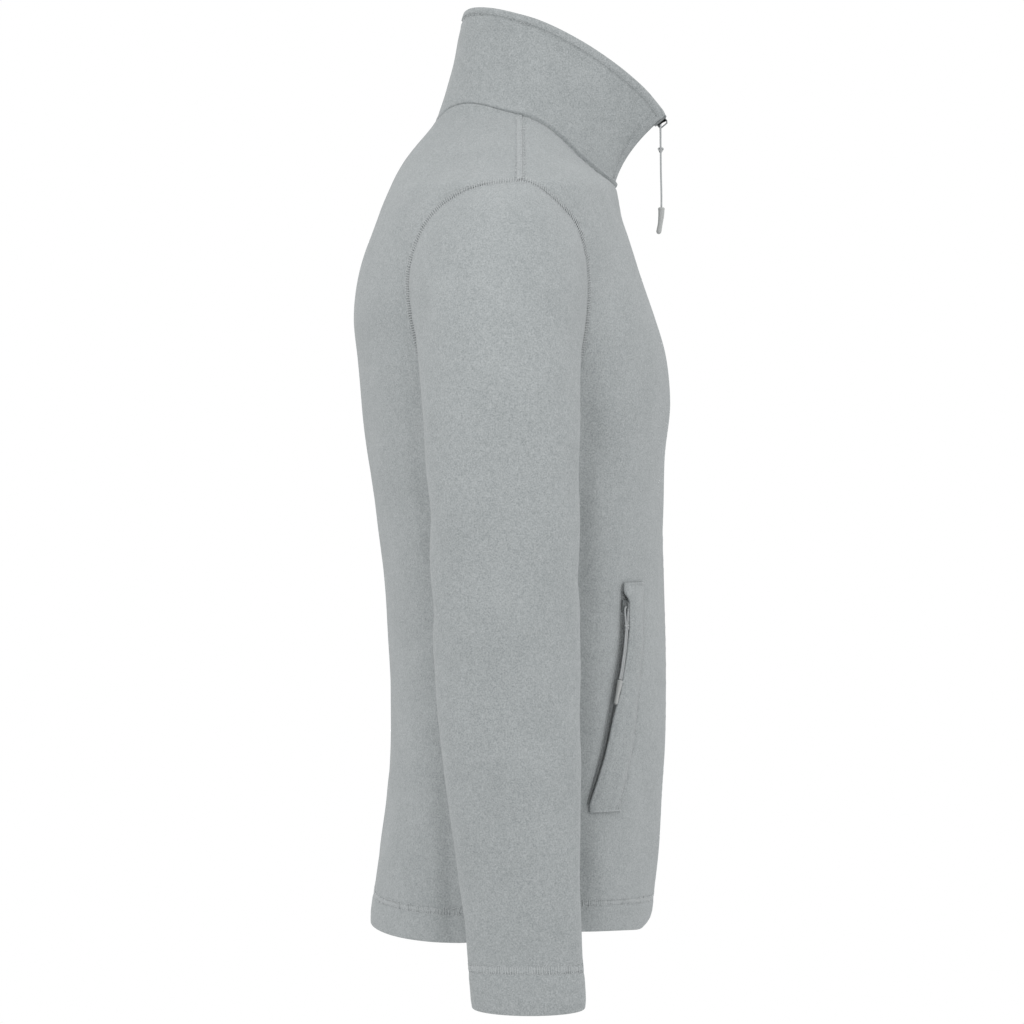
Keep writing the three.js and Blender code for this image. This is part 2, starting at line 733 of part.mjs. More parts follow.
function bridgeShape(size) {
  const foot = zip.chainFace + seamGap + size.plate;
  const [low, high] = [1.2 - size.length / 2, size.length / 2 - 1.2];
  const bar = 0.9;
  const shape = new THREE.Shape();
  shape.moveTo(foot - 0.5, low);
  shape.lineTo(foot + size.bridge * 0.55, low);
  shape.lineTo(foot + size.bridge, low + 1.2);
  shape.lineTo(foot + size.bridge, high - 1.2);
  shape.lineTo(foot + size.bridge * 0.55, high);
  shape.lineTo(foot - 0.5, high);
  const hole = new THREE.Path();
  hole.moveTo(foot + 0.1, low + bar);
  hole.lineTo(foot + 0.1, high - bar);
  hole.lineTo(foot + size.bridge * 0.5, high - bar);
  hole.lineTo(foot + size.bridge - bar, high - bar - 0.8);
  hole.lineTo(foot + size.bridge - bar, low + bar + 0.8);
  hole.lineTo(foot + size.bridge * 0.5, low + bar);
  shape.holes.push(hole);
  return shape;
}

function extruded(shape, depth) {
  const geometry = new THREE.ExtrudeGeometry(shape, { depth, bevelEnabled: false, curveSegments: 4 });
  return geometry.translate(0, 0, -depth / 2);
}

function solidOf(geometry) {
  const bare = geometry.clone();
  bare.deleteAttribute("normal");
  bare.deleteAttribute("uv");
  const merged = mergeVertices(bare, 1e-4);
  const index = merged.index;
  return new wasm.Manifold(new wasm.Mesh({
    numProp: 3,
    vertProperties: new Float32Array(merged.getAttribute("position").array),
    triVerts: new Uint32Array(index.array),
  }));
}

function joined(first, second) {
  const mesh = solidOf(first).add(solidOf(second)).getMesh();
  return outwardGeometry(Array.from(mesh.vertProperties), Array.from(mesh.triVerts));
}

function sliderGeometry(size) {
  const body = extruded(plateShape(size), size.width);
  return joined(body, extruded(bridgeShape(size), size.bridgeWidth));
}

// A place on a surface, facing out along its normal with its upward direction along the zip.
function placeOn(mesh, point, normal, upper) {
  const up = upper.clone().sub(point).normalize();
  const out = normal.clone().addScaledVector(up, -normal.dot(up)).normalize();
  const side = out.clone().cross(up);
  mesh.position.copy(point);
  mesh.quaternion.setFromRotationMatrix(new THREE.Matrix4().makeBasis(out, up, side));
}

const frontSliderRise = collarZipEnd - 0.022;

function placeFrontSlider(mesh) {
  const { point, normal } = collarZipPlace(frontSliderRise);
  placeOn(mesh, point, normal, collarZipPlace(collarZipEnd).point);
}

// The pocket's slider on the jacket's left. The other side's is its mirror image.
function pocketSliderFrame() {
  const z = pocketTop - 12;
  const at = (level) => torso(turnWhereY(slitAt(level).y, level), level);
  const normal = torsoNormal(turnWhereY(slitAt(z).y, z), z);
  return { point: at(z), normal, upper: at(z + 5) };
}

// Cord pullers. A cord goes up from its moulded end, through the bridge and back down. The
// front one's route is given for its left strand, and the pocket one's for the left pocket.
const frontStrand = [
  [0.9, -119.9, -74.8],
  [0.9, -119.9, -62],
  [0.9, -119.6, -50],
  [0.9, -119.4, -38],
  [0.9, -119.3, -27],
  [1.3, -119.2, -19],
  [2.1, -119.15, -12],
  [2.4, -119.1, -8],
  [2.4, -119.1, -6],
  [2.1, -119.1, -4.75],
  [1.2, -119.1, -3.87],
  [0, -119.1, -3.55],
];
const frontEndRoute = [
  [0, -119.9, -75.1],
  [0, -119.7, -82],
  [0, -118.7, -90],
  [0, -117.3, -98],
];
const pocketCordRoute = [
  [155.65, -81.05, -474.95],
  [154.1, -82.45, -468],
  [152.75, -83.6, -460.2],
  [150.97, -85.16, -448.2],
  [149.95, -86.05, -438],
  [149.45, -86.4, -431],
  [148.55, -86.75, -424],
  [148, -86.93, -419.3],
  [148, -86.95, -417.4],
  [148.19, -86.81, -416.15],
  [148.77, -86.35, -415.44],
  [149.54, -85.72, -415.13],
  [150.32, -85.08, -415.42],
  [150.9, -84.59, -416.11],
  [151.09, -84.41, -417.3],
  [151.09, -84.37, -419.2],
  [150.95, -84.75, -424],
  [150.87, -85.17, -431],
  [151.3, -84.85, -438],
  [152.3, -83.98, -447.9],
  [154.06, -82.39, -459.8],
  [155.4, -81.2, -467.6],
  [156.85, -79.8, -474.6],
];
const pocketEndRoute = [
  [156.35, -80.25, -475.3],
  [157.64, -79, -482],
  [159.05, -77.6, -489],
  [160.2, -76.35, -495],
];

// A solid round rod along a route, with its thickness at each share of its length. Its rings
// stay square to the route, and they are closest where the route's points are.
function rod(points, across, thickness, sides) {
  const curve = new THREE.CatmullRomCurve3(points.map((p) => vector(...p)), false, "centripetal");
  const count = 2 * (points.length - 1);
  const positions = [];
  for (let i = 0; i <= count; i += 1) {
    const centre = curve.getPoint(i / count);
    const ahead = curve.getTangent(i / count);
    const side = across.clone().cross(ahead).normalize();
    const up = ahead.clone().cross(side);
    for (let j = 0; j < sides; j += 1) {
      const turn = (2 * Math.PI * j) / sides;
      const radius = thickness(i / count) / 2;
      const point = centre.clone().addScaledVector(side, radius * Math.cos(turn));
      point.addScaledVector(up, radius * Math.sin(turn));
      positions.push(point.x, point.y, point.z);
    }
  }
  const faces = [];
  const at = (i, j) => i * sides + (j % sides);
  for (let i = 0; i < count; i += 1) {
    for (let j = 0; j < sides; j += 1) {
      faces.push(at(i, j), at(i, j + 1), at(i + 1, j + 1), at(i, j), at(i + 1, j + 1), at(i + 1, j));
    }
  }
  for (let j = 1; j < sides - 1; j += 1) {
    faces.push(at(0, 0), at(0, j + 1), at(0, j), at(count, 0), at(count, j), at(count, j + 1));
  }
  return outwardGeometry(positions, faces);
}

function cord(points, across) {
  return rod(points, across, () => cordWidth, cordSides);
}

// A moulded end tapers a little and has a rounded foot.
function mouldedEnd(points, across, size) {
  const foot = (t) => 1 - 0.45 * between(t, 0.8, 1);
  return rod(points, across, (t) => 2 * mix(size.top, size.foot, t) * foot(t), endSides);
}

function add(group, name, geometry, material) {
  const mesh = new THREE.Mesh(geometry, material);
  mesh.name = name;
  group.add(mesh);
  return mesh;
}

function addPair(group, name, geometry, material) {
  add(group, `${name}_left`, geometry, material);
  add(group, `${name}_right`, mirrored(geometry), material);
}

const jacket = new THREE.Group();
add(jacket, "back", backPanel(), fleeceGrey);
addPair(jacket, "front", frontPanel(), fleeceGrey);
addPair(jacket, "sleeve", sleeveWall(), fleeceGrey);
add(jacket, "collar", collarBand(), fleeceGrey);
addPair(jacket, "front_zip", frontZip(), tapeGrey);
addPair(jacket, "pocket_zip", pocketZip(), tapeGrey);
addPair(jacket, "pocket_welt", welt(), fleeceGrey);
placeFrontSlider(add(jacket, "front_slider", sliderGeometry(frontSlider), sliderMetal));

const across = vector(0, 1, 0);
const otherStrand = frontStrand.slice(0, -1).reverse().map(([x, y, z]) => [-x, y, z]);
add(jacket, "front_pull_cord", cord([...frontStrand, ...otherStrand], across), cordGrey);
add(jacket, "front_pull_end", mouldedEnd(frontEndRoute, across, frontEnd), mouldedGrey);

const frame = pocketSliderFrame();
addPair(jacket, "pocket_pull_cord", cord(pocketCordRoute, frame.normal), cordGrey);
addPair(jacket, "pocket_pull_end", mouldedEnd(pocketEndRoute, frame.normal, pocketEnd), mouldedGrey);
for (const [side, name] of [[1, "left"], [-1, "right"]]) {
  const mesh = add(jacket, `pocket_slider_${name}`, sliderGeometry(pocketSlider), sliderMetal);
  const flip = (v) => vector(v.x * side, v.y, v.z);
  placeOn(mesh, flip(frame.point), flip(frame.normal), flip(frame.upper));
}

export default jacket;
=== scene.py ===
import json

import bmesh
import bpy
import numpy as np
from mathutils.bvhtree import BVHTree
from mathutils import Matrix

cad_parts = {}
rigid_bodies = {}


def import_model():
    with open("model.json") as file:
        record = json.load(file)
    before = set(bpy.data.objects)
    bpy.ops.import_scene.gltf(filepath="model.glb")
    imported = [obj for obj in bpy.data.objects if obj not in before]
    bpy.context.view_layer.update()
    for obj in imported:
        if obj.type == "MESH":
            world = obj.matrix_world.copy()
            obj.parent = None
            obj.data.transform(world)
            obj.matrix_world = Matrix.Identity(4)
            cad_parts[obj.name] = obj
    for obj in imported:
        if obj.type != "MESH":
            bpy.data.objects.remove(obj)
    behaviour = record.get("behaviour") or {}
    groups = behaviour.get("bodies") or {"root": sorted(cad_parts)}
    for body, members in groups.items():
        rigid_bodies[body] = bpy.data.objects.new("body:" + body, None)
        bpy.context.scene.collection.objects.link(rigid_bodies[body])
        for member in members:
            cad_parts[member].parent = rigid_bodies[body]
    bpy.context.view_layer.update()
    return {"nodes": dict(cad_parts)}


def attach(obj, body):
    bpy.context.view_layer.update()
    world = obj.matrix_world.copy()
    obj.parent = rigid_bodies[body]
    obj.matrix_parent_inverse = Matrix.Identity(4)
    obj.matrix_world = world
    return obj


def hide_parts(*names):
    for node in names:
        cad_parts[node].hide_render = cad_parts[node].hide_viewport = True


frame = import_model()
mm = 0.001
print("frame loaded")


# The camera is level with the middle of the jacket, square to the wearer's right side, in metres.
view = {"distance": 3.5, "y": 0.0086, "z": -0.337, "frameWidth": 0.88064, "sensor": 36}
cameraData = bpy.data.cameras.new("camera")
cameraData.sensor_width = view["sensor"]
cameraData.lens = view["sensor"] * view["distance"] / view["frameWidth"]
camera = bpy.data.objects.new("camera", cameraData)
camera.location = (-view["distance"], view["y"], view["z"])
camera.rotation_euler = (np.pi / 2, 0, -np.pi / 2)
bpy.context.collection.objects.link(camera)
bpy.context.scene.camera = camera


def smoothTable(columns, rows):
    # cubic curves through the rows of a table; the first column is the key, and a row's slope
    # comes from the spans before and after it, each weighted by the length of the other
    names = columns.split()
    table = np.array(sorted(rows), float)
    keys, values = table[:, 0], table[:, 1:]
    spans = np.diff(keys)[:, None]
    rises = np.diff(values, axis=0) / spans
    inner = (rises[:-1] * spans[1:] + rises[1:] * spans[:-1]) / (spans[1:] + spans[:-1])
    slopes = np.vstack([rises[:1], inner, rises[-1:]])

    def at(key):
        key = np.clip(np.asarray(key, float), keys[0], keys[-1])
        i = np.clip(np.searchsorted(keys, key, side="right") - 1, 0, len(keys) - 2)
        span = (keys[i + 1] - keys[i])[..., None]
        t = ((key - keys[i]) / (keys[i + 1] - keys[i]))[..., None]
        value = (values[i] * (1 + 2 * t) * (1 - t) ** 2 + slopes[i] * span * t * (1 - t) ** 2
                 + values[i + 1] * t * t * (3 - 2 * t) - slopes[i + 1] * span * t * t * (1 - t))
        return {name: value[..., c] for c, name in enumerate(names[1:])}
    return at


def mix(a, b, t):
    # the value at share t of the way from a to b
    return a + (b - a) * t


def between(x, low, high):
    # smooth step from 0 at low to 1 at high
    t = np.clip((x - low) / (high - low), 0, 1)
    return t * t * (3 - 2 * t)


def stack(x, y, z):
    # points from their three coordinates, each a number or an array
    return np.stack(np.broadcast_arrays(x, y, z), axis=-1).astype(float)


def unit(v):
    # vectors divided by their lengths
    return v / np.maximum(np.linalg.norm(v, axis=-1, keepdims=True), 1e-9)


def findWhere(value, low, high, rising):
    # halving search for where a rising function passes each value
    low = np.full(np.shape(value), float(low))
    high = np.full(np.shape(value), float(high))
    for _ in range(40):
        middle = (low + high) / 2
        less = rising(middle) < value
        low, high = np.where(less, middle, low), np.where(less, high, middle)
    return (low + high) / 2


def runningLength(points):
    # distance along a row of points, from its first
    steps = np.linalg.norm(np.diff(points, axis=-2), axis=-1)
    return np.concatenate([np.zeros(steps.shape[:-1] + (1,)), np.cumsum(steps, axis=-1)], axis=-1)


def curveThrough(points, count):
    # evenly spaced points on a smooth curve through given points
    points = np.array(points, float)
    key = runningLength(points)
    names = "key x y z" if points.shape[1] == 3 else "key y z"
    curve = smoothTable(names, [[k, *p] for k, p in zip(key, points)])
    fine = curve(np.linspace(0, key[-1], 60 * len(points)))
    fine = np.stack([fine[n] for n in names.split()[1:]], axis=-1)
    length = runningLength(fine)
    even = np.linspace(0, length[-1], count)
    return np.stack([np.interp(even, length, fine[:, c]) for c in range(fine.shape[1])], axis=-1)


def addPiece(name, vertices, faces, material, slot, nodes=(), uv=None):
    # a mesh in millimetres becomes a piece in metres, on the root body, and its nodes are hidden; slot is not
    # used
    mesh = bpy.data.meshes.new(name)
    mesh.from_pydata(vertices * mm, [], faces.tolist() if hasattr(faces, "tolist") else faces)
    mesh.polygons.foreach_set("use_smooth", np.ones(len(mesh.polygons), bool))
    if uv is not None:
        corners = np.zeros(len(mesh.loops), np.int32)
        mesh.loops.foreach_get("vertex_index", corners)
        mesh.uv_layers.new(name="cloth").data.foreach_set("uv", (uv[corners] * mm).ravel())
    mesh.materials.append(material)
    mesh.update()
    piece = bpy.data.objects.new(name, mesh)
    bpy.context.collection.objects.link(piece)
    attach(piece, "root")
    if nodes:
        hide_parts(*nodes)
    return piece


def signedVolume(vertices, quads):
    # a sixth of the sum of each quad's corner products: positive when faces point out
    a, b, c, d = (vertices[quads[:, k]] for k in range(4))
    return (np.einsum("ij,ij->", a, np.cross(b, c)) + np.einsum("ij,ij->", a, np.cross(c, d))) / 6


def wallMesh(outer, inner, closed=False, keep=None):
    # a closed wall between two grids of points: both faces, and a rim on every open edge
    rows, columns = outer.shape[:2]
    across = columns if closed else columns - 1
    i, j = np.meshgrid(np.arange(rows - 1), np.arange(across), indexing="ij")
    kept = np.ones((rows - 1, across), bool) if keep is None else keep
    at = lambda layer, r, c: layer * rows * columns + r * columns + c % columns
    padded = np.zeros((rows + 1, across + 2), bool)
    padded[1:-1, 1:-1] = kept
    if closed:
        padded[:, 0], padded[:, -1] = padded[:, -2], padded[:, 1]
    parts = [
        (kept, [(0, i, j), (0, i, j + 1), (0, i + 1, j + 1), (0, i + 1, j)]),
        (kept, [(1, i, j), (1, i + 1, j), (1, i + 1, j + 1), (1, i, j + 1)]),
        (kept & ~padded[:-2, 1:-1], [(0, i, j), (1, i, j), (1, i, j + 1), (0, i, j + 1)]),
        (kept & ~padded[2:, 1:-1], [(0, i + 1, j + 1), (1, i + 1, j + 1), (1, i + 1, j), (0, i + 1, j)]),
        (kept & ~padded[1:-1, :-2], [(0, i + 1, j), (1, i + 1, j), (1, i, j), (0, i, j)]),
        (kept & ~padded[1:-1, 2:], [(0, i, j + 1), (1, i, j + 1), (1, i + 1, j + 1), (0, i + 1, j + 1)]),
    ]
    quads = np.concatenate([np.stack([at(*corner)[mask] for corner in corners], axis=-1)
                            for mask, corners in parts])
    vertices = np.concatenate([outer.reshape(-1, 3), inner.reshape(-1, 3)])
    used, quads = np.unique(quads, return_inverse=True)
    quads = quads.reshape(-1, 4)
    vertices = vertices[used]
    if signedVolume(vertices, quads) < 0:
        quads = quads[:, ::-1]
    return vertices, quads, used


def edgeDistance(points, keep=None):
    # distance of each grid point from the nearest open edge, measured along its row and column
    across, up = runningLength(points), runningLength(points.swapaxes(0, 1)).T
    nearest = np.minimum.reduce([across, across[:, -1:] - across, up, up[-1:] - up])
    if keep is not None and not keep.all():
        hole = ~keep
        top, bottom = np.where(hole.any(axis=1))[0][[-1, 0]]
        left, right = np.where(hole.any(axis=0))[0][[0, -1]]
        rows = slice(bottom, top + 2)
        beside = np.minimum(np.abs(across - across[:, left:left + 1]),
                            np.abs(across - across[:, right + 1:right + 2]))
        nearest[rows] = np.minimum(nearest[rows], beside[rows])
    return nearest


def roundedEdge(distance, wall):
    # how far both faces draw in beside an edge: a quarter circle on each, a little under half
    # the wall in radius, so that a narrow flat stays between them
    reach = 0.46 * wall
    t = 1 - np.clip(distance / reach, 0, 1)
    return reach * (1 - np.sqrt(1 - t * t))


def bothSides(outer, inner, closed=False, keep=None):
    # the same wall on the wearer's left and right: the right one is the left one's reflection
    vertices, quads, _ = wallMesh(outer, inner, closed, keep)
    return {"left": (vertices, quads), "right": (vertices * [-1, 1, 1], quads[:, ::-1])}


def distanceTo(curve, points):
    # nearest distance from each point to a curve, and how far along the curve that is; points are
    # taken in blocks, to spare memory
    blockSize = 8000
    along = runningLength(curve)
    flat = points.reshape(-1, 3)
    near, place = np.full(len(flat), 1e9), np.zeros(len(flat))
    start, step = curve[:-1], np.diff(curve, axis=0)
    square = np.maximum((step ** 2).sum(axis=1), 1e-12)
    for first in range(0, len(flat), blockSize):
        block = flat[first:first + blockSize]
        t = np.clip(((block[:, None] - start) * step).sum(axis=2) / square, 0, 1)
        gap = np.linalg.norm(block[:, None] - start - t[..., None] * step, axis=2)
        best = gap.argmin(axis=1)
        pick = np.arange(len(block))
        near[first:first + blockSize] = gap[pick, best]
        place[first:first + blockSize] = along[best] + t[pick, best] * np.sqrt(square[best])
    return near.reshape(points.shape[:-1]), place.reshape(points.shape[:-1])


def ripple(s, pitch, seed):
    # an uneven wave along a seam, from -1 to 1: a sine whose phase a slower sine moves
    drift = 1.9 * np.sin(2 * np.pi * s / (pitch * 3.7) + seed)
    return np.sin(2 * np.pi * s / pitch + drift + 2.3 * seed)


def tube(points, radius, sides, across, closed=False):
    # a round section carried along a path; radius is a number or one row for each path point
    points = np.asarray(points, float)
    if closed:
        ahead = unit(np.roll(points, -1, axis=0) - np.roll(points, 1, axis=0))
    else:
        ahead = unit(np.gradient(points, axis=0))
    side = unit(np.cross(np.broadcast_to(across, points.shape), ahead))
    up = np.cross(ahead, side)
    turn = np.linspace(0, 2 * np.pi, sides, endpoint=False)
    radius = np.broadcast_to(radius, (len(points), sides))[..., None]
    spokes = np.cos(turn)[:, None] * side[:, None] + np.sin(turn)[:, None] * up[:, None]
    vertices = (points[:, None] + radius * spokes).reshape(-1, 3)
    count = len(points)
    rings = count if closed else count - 1
    i, j = (a.ravel() for a in np.meshgrid(np.arange(rings), np.arange(sides), indexing="ij"))
    at = lambda r, c: (r % count) * sides + c % sides
    faces = np.stack([at(i, j), at(i, j + 1), at(i + 1, j + 1), at(i + 1, j)], axis=-1)
    flipped = signedVolume(vertices, faces) < 0
    faces = (faces[:, ::-1] if flipped else faces).tolist()
    if not closed:
        first, last = list(range(sides)), list(range((count - 1) * sides, count * sides))
        faces += [first if flipped else first[::-1], last[::-1] if flipped else last]
    return vertices, faces


def linear(value):
    # sRGB hex to the linear colour that shaders use
    channels = np.array([int(value[k:k + 2], 16) / 255 for k in (1, 3, 5)])
    return tuple(np.where(channels <= 0.04045, channels / 12.92, ((channels + 0.055) / 1.055) ** 2.4)) + (1,)


def newMaterial(name, settings):
    # a material with its constants set on the shader's own sockets
    material = bpy.data.materials.new(name)
    material.use_nodes = True
    shader = material.node_tree.nodes["Principled BSDF"]
    for socket, value in settings.items():
        shader.inputs[socket].default_value = value
    return material, material.node_tree, shader


def addNode(tree, kind, settings=None, links=None, options=None, stops=()):
    # one node, with its input values, its links from other nodes' outputs, its options, and its
    # stops where it is a colour ramp, each a position and a hex colour
    node = tree.nodes.new(kind)
    for key, value in (options or {}).items():
        setattr(node, key, value)
    for key, value in (settings or {}).items():
        node.inputs[key].default_value = value
    for key, output in (links or {}).items():
        tree.links.new(output, node.inputs[key])
    for k, (position, colour) in enumerate(stops):
        node.color_ramp.elements[k].position = position
        node.color_ramp.elements[k].color = linear(colour)
    return node


# Brushed microfleece: knitted polyester with a short nap raised by wire brushes, then sheared.
# The nap scatters light at grazing angles and clumps into soft grains about 1 mm across. Grains
# and depths are in millimetres.
fleeceLook = {
    "dark": (0.35, "#8b9091"), "light": (0.65, "#acb0b1"),
    "nap": {"grain": 1.25, "detail": 2, "roughness": 0.7, "share": 0.72},
    "clump": {"grain": 5, "detail": 3, "roughness": 0.6, "share": 0.17},
    "cloud": {"grain": 42, "detail": 2, "roughness": 0.5, "share": 0.11},
    "napDepth": 0.55, "clumpDepth": 0.25,
    "sheen": 0.22, "sheenRoughness": 0.5, "sheenTint": "#e2e4e5",
}


def makeFleece():
    # the colour follows the sum of three noises by their shares, and two of them raise the nap
    look = fleeceLook
    material, tree, shader = newMaterial("brushed_polyester_fleece", {
        "Roughness": 0.95, "IOR": 1.45, "Specular IOR Level": 0.15, "Sheen Weight": look["sheen"],
        "Sheen Roughness": look["sheenRoughness"], "Sheen Tint": linear(look["sheenTint"])})
    place = addNode(tree, "ShaderNodeTexCoord").outputs["Object"]
    noises, total = {}, None
    for word in ("nap", "clump", "cloud"):
        layer = look[word]  # one feature of a noise is about 1 / scale metres across
        noises[word] = addNode(tree, "ShaderNodeTexNoise", {
            "Scale": 1 / (layer["grain"] * mm), "Detail": layer["detail"], "Roughness": layer["roughness"],
        }, {"Vector": place}).outputs["Fac"]
        links = {0: noises[word]} if total is None else {0: noises[word], 2: total}
        total = addNode(tree, "ShaderNodeMath", {1: layer["share"]}, links,
                        {"operation": "MULTIPLY" if word == "nap" else "MULTIPLY_ADD"}).outputs[0]
    tone = addNode(tree, "ShaderNodeValToRGB", links={"Fac": total}, stops=(look["dark"], look["light"]))
    tree.links.new(tone.outputs["Color"], shader.inputs["Base Color"])
    coarse = addNode(tree, "ShaderNodeBump", {"Strength": 1, "Distance": look["clumpDepth"] * mm},
                     {"Height": noises["clump"]})
    fine = addNode(tree, "ShaderNodeBump", {"Strength": 1, "Distance": look["napDepth"] * mm},
                   {"Height": noises["nap"], "Normal": coarse.outputs["Normal"]})
    tree.links.new(fine.outputs["Normal"], shader.inputs["Normal"])
    return material


# Spun polyester sewing thread: two plies twisted, a slight gloss. The plies are drawn 0.5 mm
# apart, coarser than real ones, so that they show.
threadLook = {"base": "#aaaeaf", "dark": (0.3, "#9a9e9f"), "light": (0.7, "#babebf"),
              "ply": 0.5, "depth": 0.1}


def makeThread():
    # one noise, the size of a ply, gives both the colour and the relief
    look = threadLook
    material, tree, shader = newMaterial("spun_polyester_thread", {
        "Base Color": linear(look["base"]), "Roughness": 0.6, "Sheen Weight": 0.2})
    place = addNode(tree, "ShaderNodeTexCoord").outputs["Object"]
    ply = addNode(tree, "ShaderNodeTexNoise", {"Scale": 1 / (look["ply"] * mm), "Detail": 1},
                  {"Vector": place})
    tone = addNode(tree, "ShaderNodeValToRGB", links={"Fac": ply.outputs["Fac"]},
                   stops=(look["dark"], look["light"]))
    tree.links.new(tone.outputs["Color"], shader.inputs["Base Color"])
    bump = addNode(tree, "ShaderNodeBump", {"Strength": 0.5, "Distance": look["depth"] * mm},
                   {"Height": ply.outputs["Fac"]})
    tree.links.new(bump.outputs["Normal"], shader.inputs["Normal"])
    return material


# Woven polyester zip tape: fine ribs run along it, crossed by the weft, in millimetres apart.
# its tones are set lighter than the fleece's: painted light, lifting the shade that falls on the tape deep in
# the pocket slits
tapeLook = {"rib": 0.6, "weft": 0.45, "weftShare": 0.6, "depth": 0.15,
            "dark": (0.1, "#a3a7a8"), "light": (0.9, "#b9bdbe")}


def makeTape():
    # height = sine across the tape + a share of a sine along it
    look = tapeLook
    material, tree, shader = newMaterial("woven_zip_tape", {"Roughness": 0.8, "Sheen Weight": 0.15})
    uv = addNode(tree, "ShaderNodeUVMap", options={"uv_map": "cloth"}).outputs["UV"]
    across = addNode(tree, "ShaderNodeSeparateXYZ", links={"Vector": uv})
    waves = {}
    for word, axis in (("rib", "X"), ("weft", "Y")):
        phase = addNode(tree, "ShaderNodeMath", {1: 2 * np.pi / (look[word] * mm)}, {0: across.outputs[axis]},
                        {"operation": "MULTIPLY"}).outputs[0]
        waves[word] = addNode(tree, "ShaderNodeMath", links={0: phase},
                              options={"operation": "SINE"}).outputs[0]
    woven = addNode(tree, "ShaderNodeMath", {1: look["weftShare"]}, {0: waves["weft"], 2: waves["rib"]},
                    {"operation": "MULTIPLY_ADD"}).outputs[0]
    most = 1 + look["weftShare"]
    height = addNode(tree, "ShaderNodeMapRange", {"From Min": -most, "From Max": most},
                     {"Value": woven}).outputs[0]
    tone = addNode(tree, "ShaderNodeValToRGB", links={"Fac": height}, stops=(look["dark"], look["light"]))
    tree.links.new(tone.outputs["Color"], shader.inputs["Base Color"])
    bump = addNode(tree, "ShaderNodeBump", {"Strength": 0.8, "Distance": look["depth"] * mm},
                   {"Height": height})
    tree.links.new(bump.outputs["Normal"], shader.inputs["Normal"])
    return material


def makePlain(name, light, dark, grain, depth, settings):
    # a colour that drifts a little between two tones, with a fine grain in the surface
    material, tree, shader = newMaterial(name, settings)
    place = addNode(tree, "ShaderNodeTexCoord").outputs["Object"]
    drift = addNode(tree, "ShaderNodeTexNoise", {"Scale": 1 / (grain * mm), "Detail": 3}, {"Vector": place})
    tone = addNode(tree, "ShaderNodeValToRGB", links={"Fac": drift.outputs["Fac"]},
                   stops=((0.35, dark), (0.65, light)))
    tree.links.new(tone.outputs["Color"], shader.inputs["Base Color"])
    bump = addNode(tree, "ShaderNodeBump", {"Strength": 0.6, "Distance": depth * mm},
                   {"Height": drift.outputs["Fac"]})
    tree.links.new(bump.outputs["Normal"], shader.inputs["Normal"])
    return material


fleeceCloth = makeFleece()
thread = makeThread()
zipTape = makeTape()
# Nylon monofilament coil, dyed grey: smooth, with a soft gloss.
nylonCoil = makePlain("nylon_zip_coil", "#9a9e9f", "#868a8b", 1.5, 0.03, {"Roughness": 0.38, "IOR": 1.53})
# Die-cast zinc, painted grey after casting: satin.
castSlider = makePlain("painted_zinc_casting", "#7c8081", "#666a6b", 2.2, 0.04,
                       {"Roughness": 0.4, "Metallic": 0.3, "Coat Weight": 0.15})
# Braided polyester cord: sixteen fine yarns round a soft core.
braidedCord = makePlain("braided_polyester_cord", "#b0b3b4", "#999c9d", 0.5, 0.08,
                        {"Roughness": 0.75, "Sheen Weight": 0.25})
# Soft PVC moulded over the cord's ends: matt, with a fine spark-eroded texture.
mouldedPvc = makePlain("matt_moulded_pvc", "#aeb0af", "#a2a4a3", 0.8, 0.03, {"Roughness": 0.5, "IOR": 1.52})
print("materials made")


# Cord pullers, along the routes of the solids, in millimetres.
puller = {"cord": 1.5, "braidPitch": 2.6, "braidDepth": 0.055, "sides": 16, "ringStep": 0.22,
          "knotSize": 0.7, "knotCord": 0.46}
mouldedLook = {"rings": 90, "sides": 28, "lip": 0.22, "waist": -0.28, "flatness": 0.07,
               "frontSize": (2.7, 2.15), "pocketSize": (2.3, 1.7)}
frontStrand = [
    (0.9, -119.9, -74.8), (0.9, -119.9, -62), (0.9, -119.6, -50), (0.9, -119.4, -38), (0.9, -119.3, -27),
    (1.3, -119.2, -19), (2.1, -119.15, -12), (2.4, -119.1, -8), (2.4, -119.1, -6), (2.1, -119.1, -4.75),
    (1.2, -119.1, -3.87), (0, -119.1, -3.55),
]
frontEndRoute = [(0, -119.9, -75.1), (0, -119.7, -82), (0, -118.7, -90), (0, -117.3, -98)]
pocketFrontStrand = [
    (155.65, -81.05, -474.95), (154.1, -82.45, -468), (152.75, -83.6, -460.2), (150.97, -85.16, -448.2),
    (149.95, -86.05, -438), (149.45, -86.4, -431), (148.55, -86.75, -424), (148, -86.93, -419.3),
    (148, -86.95, -417.4), (148.19, -86.81, -416.15), (148.77, -86.35, -415.44), (149.54, -85.72, -415.13),
]
pocketRearStrand = [
    (156.85, -79.8, -474.6), (155.4, -81.2, -467.6), (154.06, -82.39, -459.8), (152.3, -83.98, -447.9),
    (151.3, -84.85, -438), (150.87, -85.17, -431), (150.95, -84.75, -424), (151.09, -84.37, -419.2),
    (151.09, -84.41, -417.3), (150.9, -84.59, -416.11), (150.32, -85.08, -415.42), (149.54, -85.72, -415.13),
]
pocketEndRoute = [(156.35, -80.25, -475.3), (157.64, -79, -482), (159.05, -77.6, -489), (160.2, -76.35, -495)]
mirrorX = np.array([-1, 1, 1])


def cordStrand(name, points, across):
    # a round tube whose radius swells where the yarns of the two braiding directions cross
    path = curveThrough(points, int(runningLength(np.array(points))[-1] / puller["ringStep"]))
    along = runningLength(path)[:, None]
    turn = np.linspace(0, 2 * np.pi, puller["sides"], endpoint=False)
    phase = 2 * np.pi * along / puller["braidPitch"]
    weave = np.abs(np.cos(2 * turn + phase)) + np.abs(np.cos(2 * turn - phase)) - 1
    radius = puller["cord"] / 2 * (1 + puller["braidDepth"] * weave)
    vertices, faces = tube(path, radius, puller["sides"], across)
    return addPiece(name, vertices, faces, braidedCord, "puller_cord"), path * mm


